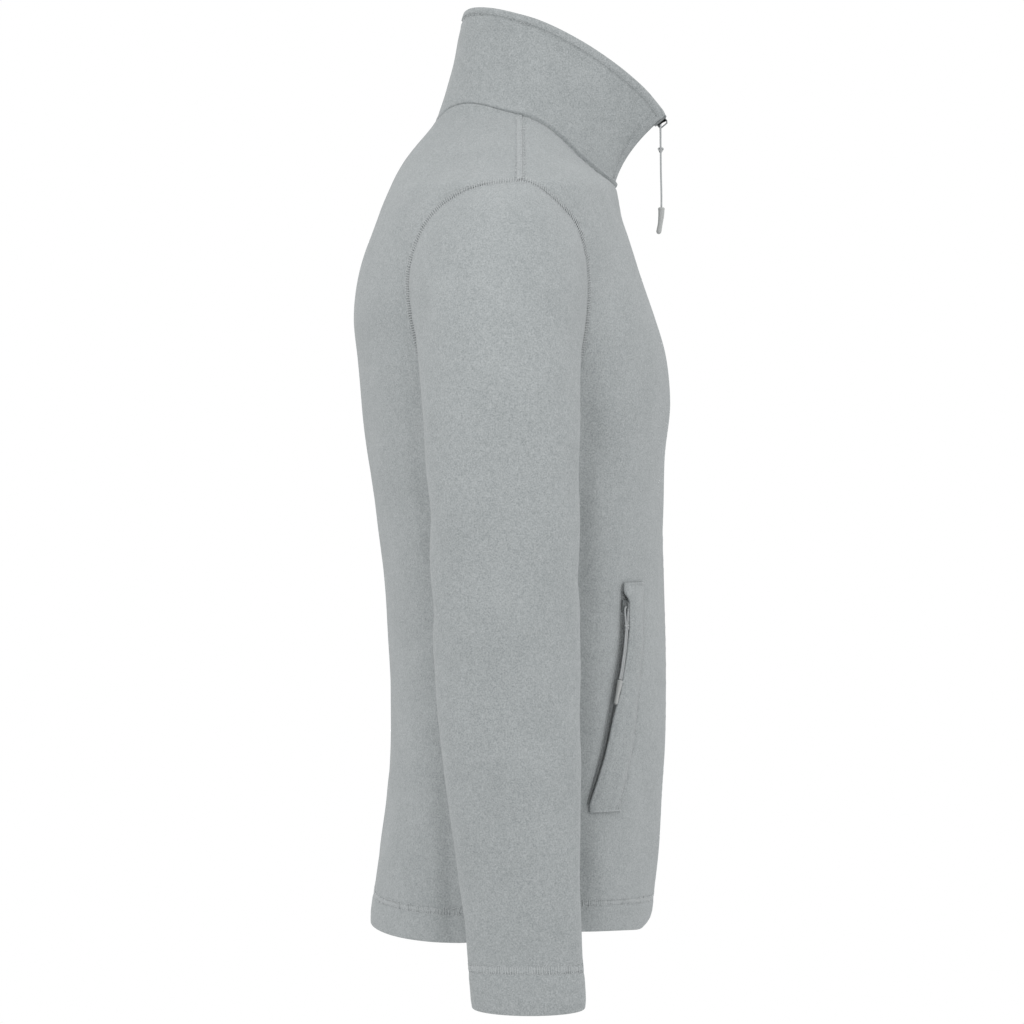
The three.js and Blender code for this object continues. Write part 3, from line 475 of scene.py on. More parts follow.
def cordKnot(name, centre, along, out):
    # a small overhand knot: a tube on a three-lobed closed curve, seen as a crossed pair
    t = np.linspace(0, 2 * np.pi, 90, endpoint=False)
    lobes = stack(np.sin(t) + 2 * np.sin(2 * t), np.cos(t) - 2 * np.cos(2 * t), -1.1 * np.sin(3 * t))
    side = np.cross(along, out)
    axes = np.array([side, along, out])
    path = np.array(centre) + puller["knotSize"] * lobes @ axes
    vertices, faces = tube(path, puller["cord"] * puller["knotCord"], 12, out, closed=True)
    return addPiece(name, vertices, faces, braidedCord, "puller_cord")


def mouldedEnd(name, route, across, top, foot):
    # a rod that narrows towards a rounded foot, with a thin lip where the mould closed round the cord
    path = curveThrough(route, mouldedLook["rings"])
    share = np.linspace(0, 1, mouldedLook["rings"])[:, None]
    lip = mouldedLook["lip"] * np.exp(-((share - 0.06) / 0.035) ** 2)
    waist = mouldedLook["waist"] * np.exp(-((share - 0.6) / 0.2) ** 2)
    start = 1 - 0.2 * (1 - between(share, 0, 0.03))
    tip = np.sqrt(np.clip(1 - np.clip((share - 0.9) / 0.102, 0, 1) ** 2, 0.02, 1))
    turn = np.linspace(0, 2 * np.pi, mouldedLook["sides"], endpoint=False)
    flat = 1 - mouldedLook["flatness"] * np.cos(turn) ** 2
    radius = (mix(top, foot, share) + lip + waist) * start * tip * flat
    vertices, faces = tube(path, radius, mouldedLook["sides"], across)
    return addPiece(name, vertices, faces, mouldedPvc, "moulded_end")


def declareCord(path):
    # the cord's length, the sum of its path's steps, is worked out and not used
    length = runningLength(path)[-1]


def addPuller(name, strands, across, endRoute, endSize, knotAt, knotAlong, knotOut, endNode, cordNode):
    # the moulded end, the knot, and the two strands of the doubled cord
    end = mouldedEnd(f"{name}_end", endRoute, across, *endSize)
    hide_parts(endNode)
    knot = cordKnot(f"{name}_knot", knotAt, knotAlong, knotOut)
    for word, points in strands.items():
        piece, path = cordStrand(f"{name}_cord_{word}", points, across)
        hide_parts(cordNode)
        declareCord(path)


toFront = np.array([0.0, -1.0, 0.0])
otherFront = [(-x, y, z) for x, y, z in frontStrand]
addPuller("front_puller", {"first": frontStrand, "second": otherFront}, toFront, frontEndRoute,
          mouldedLook["frontSize"], (0, -119.3, -25.5), np.array([0, 0, 1.0]), np.array([1.0, 0, 0]),
          "front_pull_end", "front_pull_cord")
slitOut = np.array([0.634, -0.773, -0.016])  # square to the cloth at the pocket
for side, flip in (("left", np.array([1, 1, 1])), ("right", mirrorX)):
    strands = {"first": np.array(pocketFrontStrand) * flip, "second": np.array(pocketRearStrand) * flip}
    addPuller(f"pocket_puller_{side}", strands, slitOut * flip, np.array(pocketEndRoute) * flip,
              mouldedLook["pocketSize"], np.array([150.1, -85.9, -431.5]) * flip,
              unit(np.array([0.05, 0.05, 1.0])) * flip, slitOut * flip,
              f"pocket_pull_end_{side}", f"pocket_pull_cord_{side}")
print("cord pullers made")


# The jacket's measured form, in millimetres, as in the solids.
cloth = {"wall": 2.2, "hemFold": 1.6, "collarWall": 3.6, "seamGap": 0.06, "armholeGap": 0.12, "hemCorner": 12}
levels = {"hem": -689, "hemRise": 9, "hemBackRise": 4, "hemStitch": 24, "hemRowGap": 4.5, "underarm": -290,
          "shoulder": -69, "neckFront": -60, "chestCentre": -100}
zipSize = {"opening": 9, "tape": 15, "tapeFace": -2.5, "top": 0.955, "topstitch": 7.2}
pocket = {"top": -402, "bottom": -576, "tape": 8}

torsoAt = smoothTable("z front back side middle frontPower backPower", [
    (14, -6, 65, 65, 0, 2, 2),
    (4, -11, 70.5, 71, 0, 2, 2),
    (-3, -18, 75, 76, 0, 2, 2),
    (-12, -31, 82, 94, 0, 2, 2),
    (-24, -42, 92, 118, 0, 2, 2),
    (-36, -52, 101, 143, 0, 2, 2),
    (-48, -65, 108, 168, 0, 2, 2),
    (-60, -80, 113.5, 194, 0, 2.05, 2.05),
    (-69, -82.5, 117, 213.5, 0.5, 2.1, 2.15),
    (-77, -83.8, 120.2, 218.5, 1.2, 2.12, 2.2),
    (-86, -85.5, 123.5, 220.5, 2, 2.15, 2.25),
    (-103, -91, 130, 222, 4, 2.2, 2.35),
    (-138, -102.5, 140, 218, 7, 2.35, 2.5),
    (-172, -113.5, 144, 213, 9, 2.45, 2.6),
    (-206, -123, 140.5, 207, 10, 2.5, 2.7),
    (-241, -126.5, 137.5, 202, 10, 2.5, 2.8),
    (-292, -122, 131.5, 198, 10, 2.5, 2.8),
    (-344, -120.5, 124, 193, 9, 2.5, 2.8),
    (-396, -121.5, 118, 188, 8, 2.45, 2.75),
    (-447, -123, 114.5, 185, 8, 2.45, 2.7),
    (-516, -123, 112, 185, 8, 2.45, 2.7),
    (-585, -119.5, 116, 187, 8, 2.45, 2.7),
    (-636, -116, 123, 189, 8, 2.45, 2.7),
    (-690, -109, 130, 190, 8, 2.45, 2.7),
])
neckAt = smoothTable("degrees z", [
    (0, -60), (22, -54), (36, -46.5), (50, -36), (62, -24), (75, -12), (90, -3), (104, 2), (116, 6.5),
    (138, 10), (155, 7.5), (168, 1.5), (180, -2),
])
collarTopAt = smoothTable("degrees x y z", [
    (0, 0, -124.5, 1.5),
    (8, 8, -122.5, 6),
    (15, 14, -116.5, 13.2),
    (22, 19.5, -109.5, 21),
    (36, 30, -95, 33.5),
    (50, 39, -79, 45.2),
    (62, 46, -63, 55.5),
    (75, 52, -47, 64.5),
    (90, 56.5, -28, 73.8),
    (104, 58.5, -11, 80.5),
    (116, 59, 4, 84.6),
    (138, 54, 28, 90),
    (155, 39, 43, 92),
    (168, 22, 49, 91.5),
    (180, 0, 51, 90),
])
collarFormAt = smoothTable("degrees waist roll", [
    (0, 8, 2.3), (45, 6.5, 2.3), (80, 4.8, 1.9), (105, 4, 0.7), (130, 3, 0.3), (180, 2.5, 0.3),
])
# the armhole seam, from the shoulder down to the underarm, by depth y and height z
armholeBack = [(0.5, -69), (10, -69.2), (23, -70.8), (49, -77.8), (71, -93), (86, -117), (92.5, -145),
               (91, -172), (85, -202), (73, -236), (52, -267), (28, -285), (10, -290)]
armholeFront = [(0.5, -69), (-5, -70.2), (-10, -72.6), (-21, -80.3), (-33, -91), (-42, -101), (-50, -123),
                (-53, -153), (-51, -185), (-43, -225), (-26, -262), (-7, -284), (10, -290)]
sleeveAt = smoothTable("way outX outZ inX inZ front back", [
    (0, 213, -69, 198, -290, -53, 92.5),
    (0.02, 222, -74, 203, -290.5, -52.3, 91.5),
    (0.06, 240, -87, 206, -293, -50.8, 89.5),
    (0.11, 259, -107, 207.5, -299, -49, 87),
    (0.17, 276, -136, 208, -309, -47.5, 84),
    (0.24, 289, -173, 208, -325, -46.3, 81),
    (0.32, 299, -220, 208.5, -350, -45.5, 78.5),
    (0.41, 304, -275, 209, -385, -45.4, 76.3),
    (0.51, 304, -340, 210, -432, -45.8, 74),
    (0.61, 300, -411, 211, -486, -45.8, 71),
    (0.71, 293, -489, 212.5, -545, -45.8, 66),
    (0.81, 286, -572, 214, -607, -46.6, 56),
    (0.91, 278, -656, 215, -674, -47.3, 46.5),
    (0.96, 275, -700.5, 216, -703, -48.8, 43.5),
    (1, 273, -737, 216, -731.5, -50, 41),
])
slitAt = smoothTable("z y width welt lift", [
    (-402, -84.5, 9, 24, 0.5), (-443, -83, 9, 25, 1.2), (-493, -75, 8, 27, 1.2), (-537, -66, 6, 30, 0.9),
    (-576, -55, 1.6, 32, 0.5),
])


def torso(turn, z):
    # a level section is a squared-off oval: its radius is (across^p + along^p)^(-1/p), with its own
    # depth and power in front and behind; turn 0 is the centre front
    level = torsoAt(z)
    forward = np.cos(turn) > 0
    depth = np.where(forward, level["middle"] - level["front"], level["back"] - level["middle"])
    power = np.where(forward, level["frontPower"], level["backPower"])
    across = (np.abs(np.sin(turn)) / level["side"]) ** power
    along = (np.abs(np.cos(turn)) / depth) ** power
    radius = (across + along) ** (-1 / power)
    return stack(radius * np.sin(turn), level["middle"] - radius * np.cos(turn), z)


def normalOf(surface, a, b, stepA, stepB):
    # the first parameter runs anticlockwise seen from above and the second upwards
    return unit(np.cross(surface(a + stepA, b) - surface(a - stepA, b),
                         surface(a, b + stepB) - surface(a, b - stepB)))


def torsoNormal(turn, z):
    # square to the torso's surface, pointing out
    return normalOf(torso, turn, z, 0.004, 1.5)


def turnWhereY(y, z):
    # the turn, from 0 at the front to half a circle, at which the torso reaches y
    return findWhere(y, 0, np.pi, lambda turn: torso(turn, z)[..., 1])


def turnWhereX(x, z):
    # the turn beside the centre front at which the torso reaches x
    return findWhere(np.broadcast_to(float(x), np.shape(z)), 0, np.pi / 4,
                     lambda turn: torso(turn, z)[..., 0])


def foldedTurn(turn):
    # the same turn on the wearer's left side
    turn = np.abs(turn)
    return np.where(turn > np.pi, 2 * np.pi - turn, turn)


def neckLevel(turn):
    # the height of the neck seam at a turn
    return neckAt(np.degrees(foldedTurn(turn)))["z"]


def hemLift(turn, z):
    # the hem rises towards the side of the front, and a little towards the centre back
    turn = np.degrees(foldedTurn(turn))
    front = levels["hemRise"] * between(turn, 22, 78) * (1 - between(turn, 84, 106))
    back = levels["hemBackRise"] * between(turn, 95, 165)
    return (front + back) * (1 - between(z, levels["hem"], levels["hem"] + 70))


def armholeHalf(table, away, count):
    # the armhole seam on the torso, each point moved away from the middle of the opening
    points = curveThrough(table, count)
    points = points + unit(points - np.array([18, -185])) * away
    return turnWhereY(points[:, 0], points[:, 1]), points[:, 1]


def turnsAt(left, right, z, shares):
    # the turns that divide each row's section at shares of its length
    t = np.linspace(0, 1, 160)
    turns = mix(left[:, None], right[:, None], t)
    length = runningLength(torso(turns, np.broadcast_to(z[:, None], turns.shape)))
    return np.array([np.interp(share * l[-1], l, row) for share, l, row in zip(shares, length, turns)])


def shareAt(left, right, z, turn):
    # how far along a row a turn lies, as a share of its length, and that length
    t = np.linspace(0, 1, 160)
    rows = [torso(mix(left[:, None], end[:, None], t), np.broadcast_to(z[:, None], (len(z), 160)))
            for end in (right, turn)]
    whole, part = (runningLength(row)[:, -1] for row in rows)
    return part / whole, whole


def dense(edge, length, step):
    # distances from an edge: close together for the rounded edge and the stitching, then even steps
    near = [0, 0.12, 0.4, 0.75, 1.1, 1.8, 2.6, 3.4, 4.3, 5.3, 6.2, 6.9, 7.5, 8.1, 8.8, 9.8, 11.3]
    near = [d for d in near if d <= edge]
    rest = np.linspace(near[-1], length, int(round((length - near[-1]) / step)) + 1)[1:]
    return np.concatenate([near, rest])


# Soft creases, listed one by one: each is a trough (-) or ridge (+) along a bowed line on the cloth, by
# its start, middle and end, its width and its depth: x1 y1 z1 x2 y2 z2 x3 y3 z3 width depth.
torsoCreases = [
    (-186, -56, -150, -187, -48, -440, -186, -50, -900, 12, -6.5),
    (-181, 92, -190, -180, 76, -460, -188, 44, -860, 10, -5.0),
    (186, -54, -160, 187, -50, -450, 186, -52, -880, 12, -6.0),
    (182, 90, -200, 180, 78, -450, 188, 46, -870, 10, -4.6),
    (-196, 62, -300, -186, 72, -372, -172, 84, -452, 17, -2.4),
    (-150, 108, -232, -160, 100, -310, -150, 100, -395, 24, -2.0),
    (-185, 60, -420, -150, 92, -446, -92, 110, -452, 15, -1.8),
    (-188, 40, -470, -160, 84, -492, -120, 101, -500, 13, -1.3),
    (-120, 118, -560, -128, 116, -620, -120, 122, -676, 22, 2.0),
    (-168, 86, -575, -172, 88, -630, -172, 92, -676, 16, -2.0),
    (-184, -52, -236, -178, -66, -290, -160, -92, -338, 15, -2.2),
    (-120, -84, -96, -160, -78, -140, -190, -58, -196, 17, -1.6),
    (-150, -96, -300, -158, -88, -350, -150, -88, -396, 14, -1.3),
    (-176, -62, -590, -166, -70, -630, -160, -74, -672, 16, 2.2),
    (-110, -102, -560, -104, -104, -610, -112, -98, -668, 19, -1.8),
    (-58, -118, -330, -62, -118, -400, -52, -118, -470, 20, -1.2),
    (-70, 96, -66, -112, 98, -86, -150, 88, -104, 16, -1.0),
    (196, 60, -304, 188, 74, -380, 168, 88, -440, 18, -2.2),
    (148, 110, -240, 158, 102, -300, 152, 100, -380, 22, -1.8),
    (186, 56, -430, 148, 92, -442, 80, 111, -462, 16, -1.9),
    (110, 119, -570, 122, 117, -620, 112, 124, -678, 24, 2.1),
    (166, 88, -560, 172, 88, -620, 168, 94, -676, 17, -1.9),
    (186, -50, -240, 176, -68, -300, 154, -94, -346, 16, -2.3),
    (124, -84, -98, 158, -80, -136, 188, -60, -200, 16, -1.7),
    (178, -60, -600, 168, -70, -640, 158, -76, -676, 15, 2.0),
    (104, -104, -548, 110, -102, -600, 104, -100, -666, 20, -1.9),
    (52, -118, -350, 60, -118, -420, 54, -118, -480, 19, -1.3),
    (-24, 140, -190, -10, 128, -330, -20, 114, -470, 30, -1.6),
    (20, 112, -540, 34, 116, -600, 28, 126, -670, 26, 1.6),
]
sleeveCreases = [
    (304, 14, -330, 302, 20, -430, 292, 14, -560, 16, -1.9),
    (292, 40, -520, 284, 24, -600, 276, 6, -676, 15, -1.5),
    (228, 70, -300, 262, 74, -352, 292, 50, -404, 15, -1.9),
    (216, 58, -372, 246, 72, -410, 280, 60, -440, 12, -1.5),
    (222, -40, -340, 250, -46, -384, 280, -34, -410, 13, -1.5),
    (214, 10, -360, 214, 34, -392, 226, 60, -420, 12, -2.0),
    (214, -12, -420, 222, -40, -444, 250, -46, -462, 11, -1.3),
    (250, 62, -560, 238, 56, -620, 240, 44, -676, 13, 1.3),
    (240, -46, -560, 246, -48, -620, 250, -48, -690, 12, -1.1),
    (226, 84, -150, 252, 84, -190, 270, 70, -250, 17, -1.5),
    (232, -46, -150, 256, -44, -200, 276, -34, -262, 16, -1.3),
]


def creaseDepth(creases, points):
    # sum over the creases of depth * exp(-(distance / width)^2), fading out towards each end
    total = np.zeros(points.shape[:-1])
    t = np.linspace(0, 1, 24)[:, None]
    for x1, y1, z1, x2, y2, z2, x3, y3, z3, width, depth in creases:
        ends = [np.array(p, float) for p in ((x1, y1, z1), (x2, y2, z2), (x3, y3, z3))]
        bend = 2 * ends[1] - (ends[0] + ends[2]) / 2
        curve = (1 - t) ** 2 * ends[0] + 2 * t * (1 - t) * bend + t * t * ends[2]
        low, high = curve.min(axis=0) - 3 * width, curve.max(axis=0) + 3 * width
        inside = ((points > low) & (points < high)).all(axis=-1)
        if not inside.any():
            continue
        near, along = distanceTo(curve, points[inside])
        share = along / runningLength(curve)[-1]
        fade = between(share, 0, 0.3) * (1 - between(share, 0.6, 1))
        fade = np.where((share <= 0) | (share >= 1), 0, fade)
        total[inside] += depth * np.exp(-(near / width) ** 2) * fade
    return total


def slowWave(points, pitch, depth):
    # an uneven, very shallow billow of worn cloth
    x, y, z = points[..., 0] / pitch, points[..., 1] / pitch, points[..., 2] / pitch
    wide = np.sin(2.1 * x + 1.3 * z + 0.7) * np.sin(1.7 * y - 0.9 * z + 2.1)
    return depth * (wide + 0.5 * np.sin(3.3 * z + 1.9 * x - y))


# Seams that the panels share.
seamTurn = np.radians(np.linspace(0, 90, 60))
napeTurn = seamTurn + np.pi / 2
neckCurve = {"front": torso(seamTurn, neckLevel(seamTurn)), "back": torso(napeTurn, neckLevel(napeTurn))}
shoulderZ = np.linspace(levels["shoulder"], neckLevel(np.pi / 2), 90)
shoulderCurve = torso(np.full(90, np.pi / 2), shoulderZ)
armholeCurve = {}
for word, table in (("back", armholeBack), ("front", armholeFront)):
    armholeTurn, armholeZ = armholeHalf(table, 0, 220)
    armholeCurve[word] = torso(armholeTurn, armholeZ)
# The shoulder's band reaches from a little before the seam to behind it; the armhole's lies on both
# sides of its seam.
seamLook = {"bandDepth": 0.25, "pucker": 0.26, "shoulderBand": (-1.5, 5.4), "armholeBand": (-2.4, 2.6),
            "creases": 1.25}


def stitchGroove(distance, along, pitch, seed, width=0.95, depth=0.5):
    # a narrow valley pulled in by a row of stitches, with small puckers beside it
    valley = -depth * np.exp(-(distance / width) ** 2)
    pucker = seamLook["pucker"] * ripple(along, pitch, seed) * np.exp(-((distance - 1.5) / 2.6) ** 2)
    return valley + pucker


def torsoForm(points):
    # the slow shape that both faces of the cloth follow; it dies away towards the zip and the neck
    calm = between(np.abs(points[..., 0]), 6, 40) * between(-points[..., 2], 50, 110)
    return calm * (seamLook["creases"] * creaseDepth(torsoCreases, points) + slowWave(points, 38, 0.45))


def hemCurl(turn, z):
    # the hem's lowest edge curls in along a quarter circle beside the zip
    t = 1 - np.clip((z - levels["hem"]) / cloth["hemCorner"], 0, 1)
    fade = 1 - between(np.degrees(foldedTurn(turn)), 14, 50)
    return cloth["hemCorner"] * (1 - np.sqrt(1 - t * t)) * fade


def coverBand(distance, along, seed, half=2.4, depth=0.25):
    # a flat band under a cover stitch: pressed in along both its needle lines
    lines = (stitchGroove(distance - half, along, 6.5, seed, 0.9, depth)
             + stitchGroove(-distance - half, along, 7.3, seed + 1, 0.9, depth))
    return lines + seamLook["bandDepth"] * np.exp(-(distance / (half * 0.8)) ** 4)


def hemRelief(points, z, along):
    # the turned-up hem stands a little proud below its two rows of stitches
    up = z - levels["hem"]
    first, second = up - levels["hemStitch"], up - levels["hemStitch"] - levels["hemRowGap"]
    fold = 0.7 * (1 - between(up, levels["hemStitch"] - 5, levels["hemStitch"] - 0.5)) * between(up, 1, 7)
    return (fold + stitchGroove(first, along, 8.5, 0.4, 0.8, 0.4)
            + stitchGroove(second, along, 9.4, 1.3, 0.8, 0.45))


def torsoRelief(points, z, along, part):
    # the sum of the hem's, the armhole's, the shoulder's and the neck's sewn relief
    relief = hemRelief(points, z, along)
    mirrored = points * np.where(points[..., :1] < 0, -1, 1) * [1, 0, 0] + points * [0, 1, 1]
    near, place = distanceTo(armholeCurve[part], mirrored)
    relief = relief + coverBand(near + 0.1, place, 0.9 if part == "back" else 2.2) * (near < 12)
    near, place = distanceTo(shoulderCurve, mirrored)
    behind = near if part == "back" else -near
    low, high = seamLook["shoulderBand"]
    relief = relief + coverBand(behind - (low + high) / 2, place, 1.7, (high - low) / 2, 0.5) * (near < 14)
    near, place = distanceTo(neckCurve[part], mirrored)
    return relief + stitchGroove(near - 1.8, place, 6.0, 0.2, 0.8, 0.4) * (near < 10)


# The fronts. Rows of the mesh above the hem are closest at its edge and at its stitching.
hemRows = np.array([0, 0.12, 0.4, 0.8, 1.2, 1.8, 3, 5, 8, 12, 16, 19, 21, 22.3, 23.2, 24, 24.8, 25.8, 26.8,
                    27.6, 28.5, 29.4, 30.6, 32.5, 35, 38.5])
frontPart = {"step": 3.7}


def frontGrid():
    # rows run from the zip's edge to the side seam, the armhole and the shoulder seam; columns
    # keep their shares of a row, and some follow the pocket's welt and slit
    hemPart = levels["hem"] + hemRows
    low = np.linspace(hemPart[-1], pocket["bottom"], 20)[1:]
    slit = np.concatenate([[0, 0.15, 0.5, 1.0, 2], np.linspace(5, 170, 46), [172, 173, 173.5, 173.85, 174]])
    slit = pocket["bottom"] + slit[1:]
    high = np.linspace(pocket["top"], levels["underarm"], 30)[1:]
    sideZ = np.concatenate([hemPart, low, slit, high])
    side = np.pi / 2 - cloth["seamGap"] / 2 / 190
    armTurn, armZ = armholeHalf(armholeFront, cloth["armholeGap"] / 2, 76)
    armTurn, armZ = np.minimum(armTurn[::-1], side)[1:], armZ[::-1][1:]
    endTurn = np.concatenate([np.full(len(sideZ), side), armTurn])
    endZ = np.concatenate([sideZ, armZ])
    rise = np.linspace(0, 1, len(armZ) + 1)[1:]
    startZ = np.concatenate([sideZ, mix(levels["underarm"], levels["chestCentre"], rise)])
    startTurn = turnWhereX(zipSize["opening"] / 2, startZ)
    # above the armhole the rows start at the zip's edge and then along the neck seam
    chest = np.linspace(levels["chestCentre"], levels["neckFront"], 12)[1:-1]
    neck = np.radians(np.concatenate([np.linspace(0, 84, 40), [86, 87.4, 88.4, 89, 89.4]]))
    neckZ = neckLevel(neck) - cloth["seamGap"] / 2
    topZ = np.concatenate([chest, neckZ])
    topTurn = np.maximum(np.concatenate([np.zeros(len(chest)), neck]),
                         turnWhereX(zipSize["opening"] / 2, topZ))
    topEnd = mix(levels["shoulder"], neckZ[-1], np.linspace(0, 1, len(topZ) + 1)[1:])
    startTurn, startZ = np.concatenate([startTurn, topTurn]), np.concatenate([startZ, topZ])
    endTurn, endZ = np.concatenate([endTurn, np.full(len(topZ), side)]), np.concatenate([endZ, topEnd])
    # column shares: block ends for each row, then the same split of every block
    middleZ = (startZ + endZ) / 2
    pocketZ = np.clip(middleZ, pocket["bottom"], pocket["top"])
    slitRow = slitAt(pocketZ)
    zipEdge = turnWhereX(zipSize["opening"] / 2, pocketZ)
    centre, width = shareAt(zipEdge, np.full(len(pocketZ), np.pi / 2), pocketZ,
                            turnWhereY(slitRow["y"], pocketZ))
    half = slitRow["width"] / 2
    blocks = np.stack([np.zeros(len(half)), (zipSize["tape"] - zipSize["opening"] / 2) / width,
                       centre - (half + slitRow["welt"]) / width, centre - (half + pocket["tape"]) / width,
                       centre - half / width, centre + half / width,
                       centre + (half + pocket["tape"]) / width, np.ones(len(half))], axis=1)
    zipSide = dense(10.5, 10.5, 1.5)
    toEdge = np.array([1, 2.2, 3.6, 5, 6, 6.6, 7.0, 7.3, 7.6, 7.85, 8]) / 8
    armSide = dense(7, 90, frontPart["step"])
    splits = [zipSide[1:] / zipSide[-1], np.linspace(0, 1, 27)[1:], np.linspace(0, 1, 9)[1:], toEdge,
              np.linspace(0, 1, 6)[1:], np.append(1 - toEdge[-2::-1], 1),
              (1 - armSide[::-1] / armSide[-1])[1:]]
    shares = [blocks[:, :1]]
    for k, split in enumerate(splits):
        shares.append(mix(blocks[:, k:k + 1], blocks[:, k + 1:k + 2], split))
    shares = np.concatenate(shares, axis=1)
    ends = np.cumsum([1] + [len(split) for split in splits]) - 1
    turns = turnsAt(startTurn, endTurn, middleZ, shares)
    z = startZ[:, None] + (endZ - startZ)[:, None] * shares
    # the slit's rows lie level, so their own heights find the hole
    bottom, top = np.abs(sideZ - pocket["bottom"]).argmin(), np.abs(sideZ - pocket["top"]).argmin()
    keep = np.ones((len(z) - 1, z.shape[1] - 1), bool)
    keep[bottom:top, ends[4]:ends[5]] = False
    return {"turn": turns, "z": z, "keep": keep, "rows": (bottom, top), "columns": ends}


def torsoWall(grid, part, wall, keep=None, extraRelief=0):
    # both faces of a panel: the torso moved out along its normal by form and relief
    turn, z = grid["turn"], grid["z"]
    base, normal = torso(turn, z), torsoNormal(turn, z)
    rounding = edgeDistance(base, keep)
    thick = wall + cloth["hemFold"] * (1 - between(z, levels["hem"] + 21, levels["hem"] + 27))
    form = torsoForm(base) - hemCurl(turn, z)
    relief = torsoRelief(base, z, runningLength(base), part) + extraRelief
    lift = stack(0 * z, 0 * z, hemLift(turn, z))
    outer = base + lift + normal * (form + relief - roundedEdge(rounding, thick))[..., None]
    inner = base + lift + normal * (form - thick + roundedEdge(rounding, thick))[..., None]
    return outer, inner


front = frontGrid()
bottomRow, topRow = front["rows"]
basePoints = torso(front["turn"], front["z"])
zipTopstitch = stitchGroove(runningLength(basePoints) - zipSize["topstitch"], front["z"], 7.0, 0.6, 0.9, 0.5)
rearLine, weltLine = (basePoints[bottomRow:topRow + 1, front["columns"][k]] for k in (5, 2))
near, along = distanceTo(rearLine, basePoints)
slitRelief = -1.5 * np.exp(-(near / 4.5) ** 2) * (near < 14)  # the cloth dips into the slit
near, along = distanceTo(weltLine, basePoints)
weltRelief = stitchGroove(near, along, 7.5, 1.1, 1.2, 0.9) * (near < 12)
outer, inner = torsoWall(front, "front", cloth["wall"], front["keep"], zipTopstitch + slitRelief + weltRelief)
frontSides = bothSides(outer, inner, keep=front["keep"])
for side, (vertices, quads) in frontSides.items():
    addPiece(f"front_panel_{side}", vertices, quads, fleeceCloth, "fleece", [f"front_{side}"])
print("fronts made", len(quads))


# The back.
backPart = {"step": 4.8}


def backGrid():
    # as the front's rows, from one side seam or armhole to the other, and up to the nape
    hemPart = levels["hem"] + hemRows
    sideZ = np.concatenate([hemPart, np.linspace(hemPart[-1], levels["underarm"], 88)[1:]])
    side = np.pi / 2 + cloth["seamGap"] / 2 / 190
    armTurn, armZ = armholeHalf(armholeBack, cloth["armholeGap"] / 2, 80)
    armTurn, armZ = np.maximum(armTurn[::-1], side)[1:], armZ[::-1][1:]
    neckEnd = neckLevel(side) - cloth["seamGap"] / 2
    top = np.concatenate([np.linspace(0, 0.97, 40)[1:], [0.985, 0.994, 0.998, 1]])
    endTurn = np.concatenate([np.full(len(sideZ), side), armTurn, np.full(len(top), side)])
    endZ = np.concatenate([sideZ, armZ, mix(levels["shoulder"], neckEnd, top)])
    rise = np.linspace(0, 1, len(armZ) + 1)[1:]
    centreZ = np.concatenate([sideZ, mix(levels["underarm"], levels["chestCentre"], rise),
                              mix(levels["chestCentre"], neckEnd, top)])
    halfWidth = 285  # the back from a side seam to its centre
    half = dense(12, halfWidth, backPart["step"]) / halfWidth / 2
    shares = np.concatenate([half, (1 - half[:-1])[::-1]])
    shares = np.broadcast_to(shares, (len(endZ), len(shares)))
    turns = turnsAt(endTurn, 2 * np.pi - endTurn, endZ, shares)
    z = mix(endZ[:, None], centreZ[:, None], 1 - np.abs(2 * shares - 1))
    # towards the nape the rows bend to the height of the neck seam above them
    blend = np.concatenate([np.zeros(len(endZ) - len(top)), between(top, 0.15, 1)])[:, None]
    nape = neckLevel(turns[-1]) - cloth["seamGap"] / 2
    return {"turn": turns, "z": z + blend * (nape - neckEnd)}


vertices, quads, _ = wallMesh(*torsoWall(backGrid(), "back", cloth["wall"]))
backMesh = vertices, quads
addPiece("back_panel", vertices, quads, fleeceCloth, "fleece", ["back"])
print("back made", len(quads))


# The sleeves, from the armhole, way 0, to the cuff's edge, way 1; share goes round from the top.
sleevePart = {"cuffLevel": 30, "cuffRowGap": 4.8, "cuffRound": 240, "around": 116, "length": 680}


def sleeveOval(share, way):
    # an oval through the ring's outer and inner points, as deep as its front and back
    ring = sleeveAt(way)
    turn = 2 * np.pi * share
    across = (1 + np.cos(turn)) / 2
    middle, depth = (ring["front"] + ring["back"]) / 2, (ring["back"] - ring["front"]) / 2
    return stack(mix(ring["inX"], ring["outX"], across), middle + depth * np.sin(turn),
                 mix(ring["inZ"], ring["outZ"], across))


def armholeRing():
    # the armhole seam all round, from its top over the back, the underarm and the front
    turnBack, zBack = armholeHalf(armholeBack, -cloth["armholeGap"] / 2, 241)
    turnFront, zFront = armholeHalf(armholeFront, -cloth["armholeGap"] / 2, 241)
    turns = np.concatenate([turnBack, turnFront[::-1][1:]])
    heights = np.concatenate([zBack, zFront[::-1][1:]])
    return torso(turns, heights), torsoNormal(turns, heights)


ringPoints, ringNormals = armholeRing()
ringShares = np.linspace(0, 1, len(ringPoints))


def alongRing(share, values):
    # values at a share of the way round the armhole
    share = share % 1
    return np.stack([np.interp(share, ringShares, values[:, c]) for c in range(3)], axis=-1)


def sleeve(share, way):
    # the oval, moved at the top so that it starts on the armhole
    fade = (1 - between(way, 0, 0.3))[..., None]
    return sleeveOval(share, way) + fade * (alongRing(share, ringPoints) - sleeveOval(share, 0 * way))


def sleeveNormal(share, way):
    # square to the sleeve, and to the torso where they meet at the armhole
    along = sleeve(share + 0.006, way) - sleeve(share - 0.006, way)
    down = sleeve(share, np.minimum(way + 0.006, 1)) - sleeve(share, np.maximum(way - 0.006, 0))
    own = unit(np.cross(down, along))
    seam = (1 - between(way, 0, 0.015))[..., None]
    return unit(mix(own, alongRing(share, ringNormals), seam))


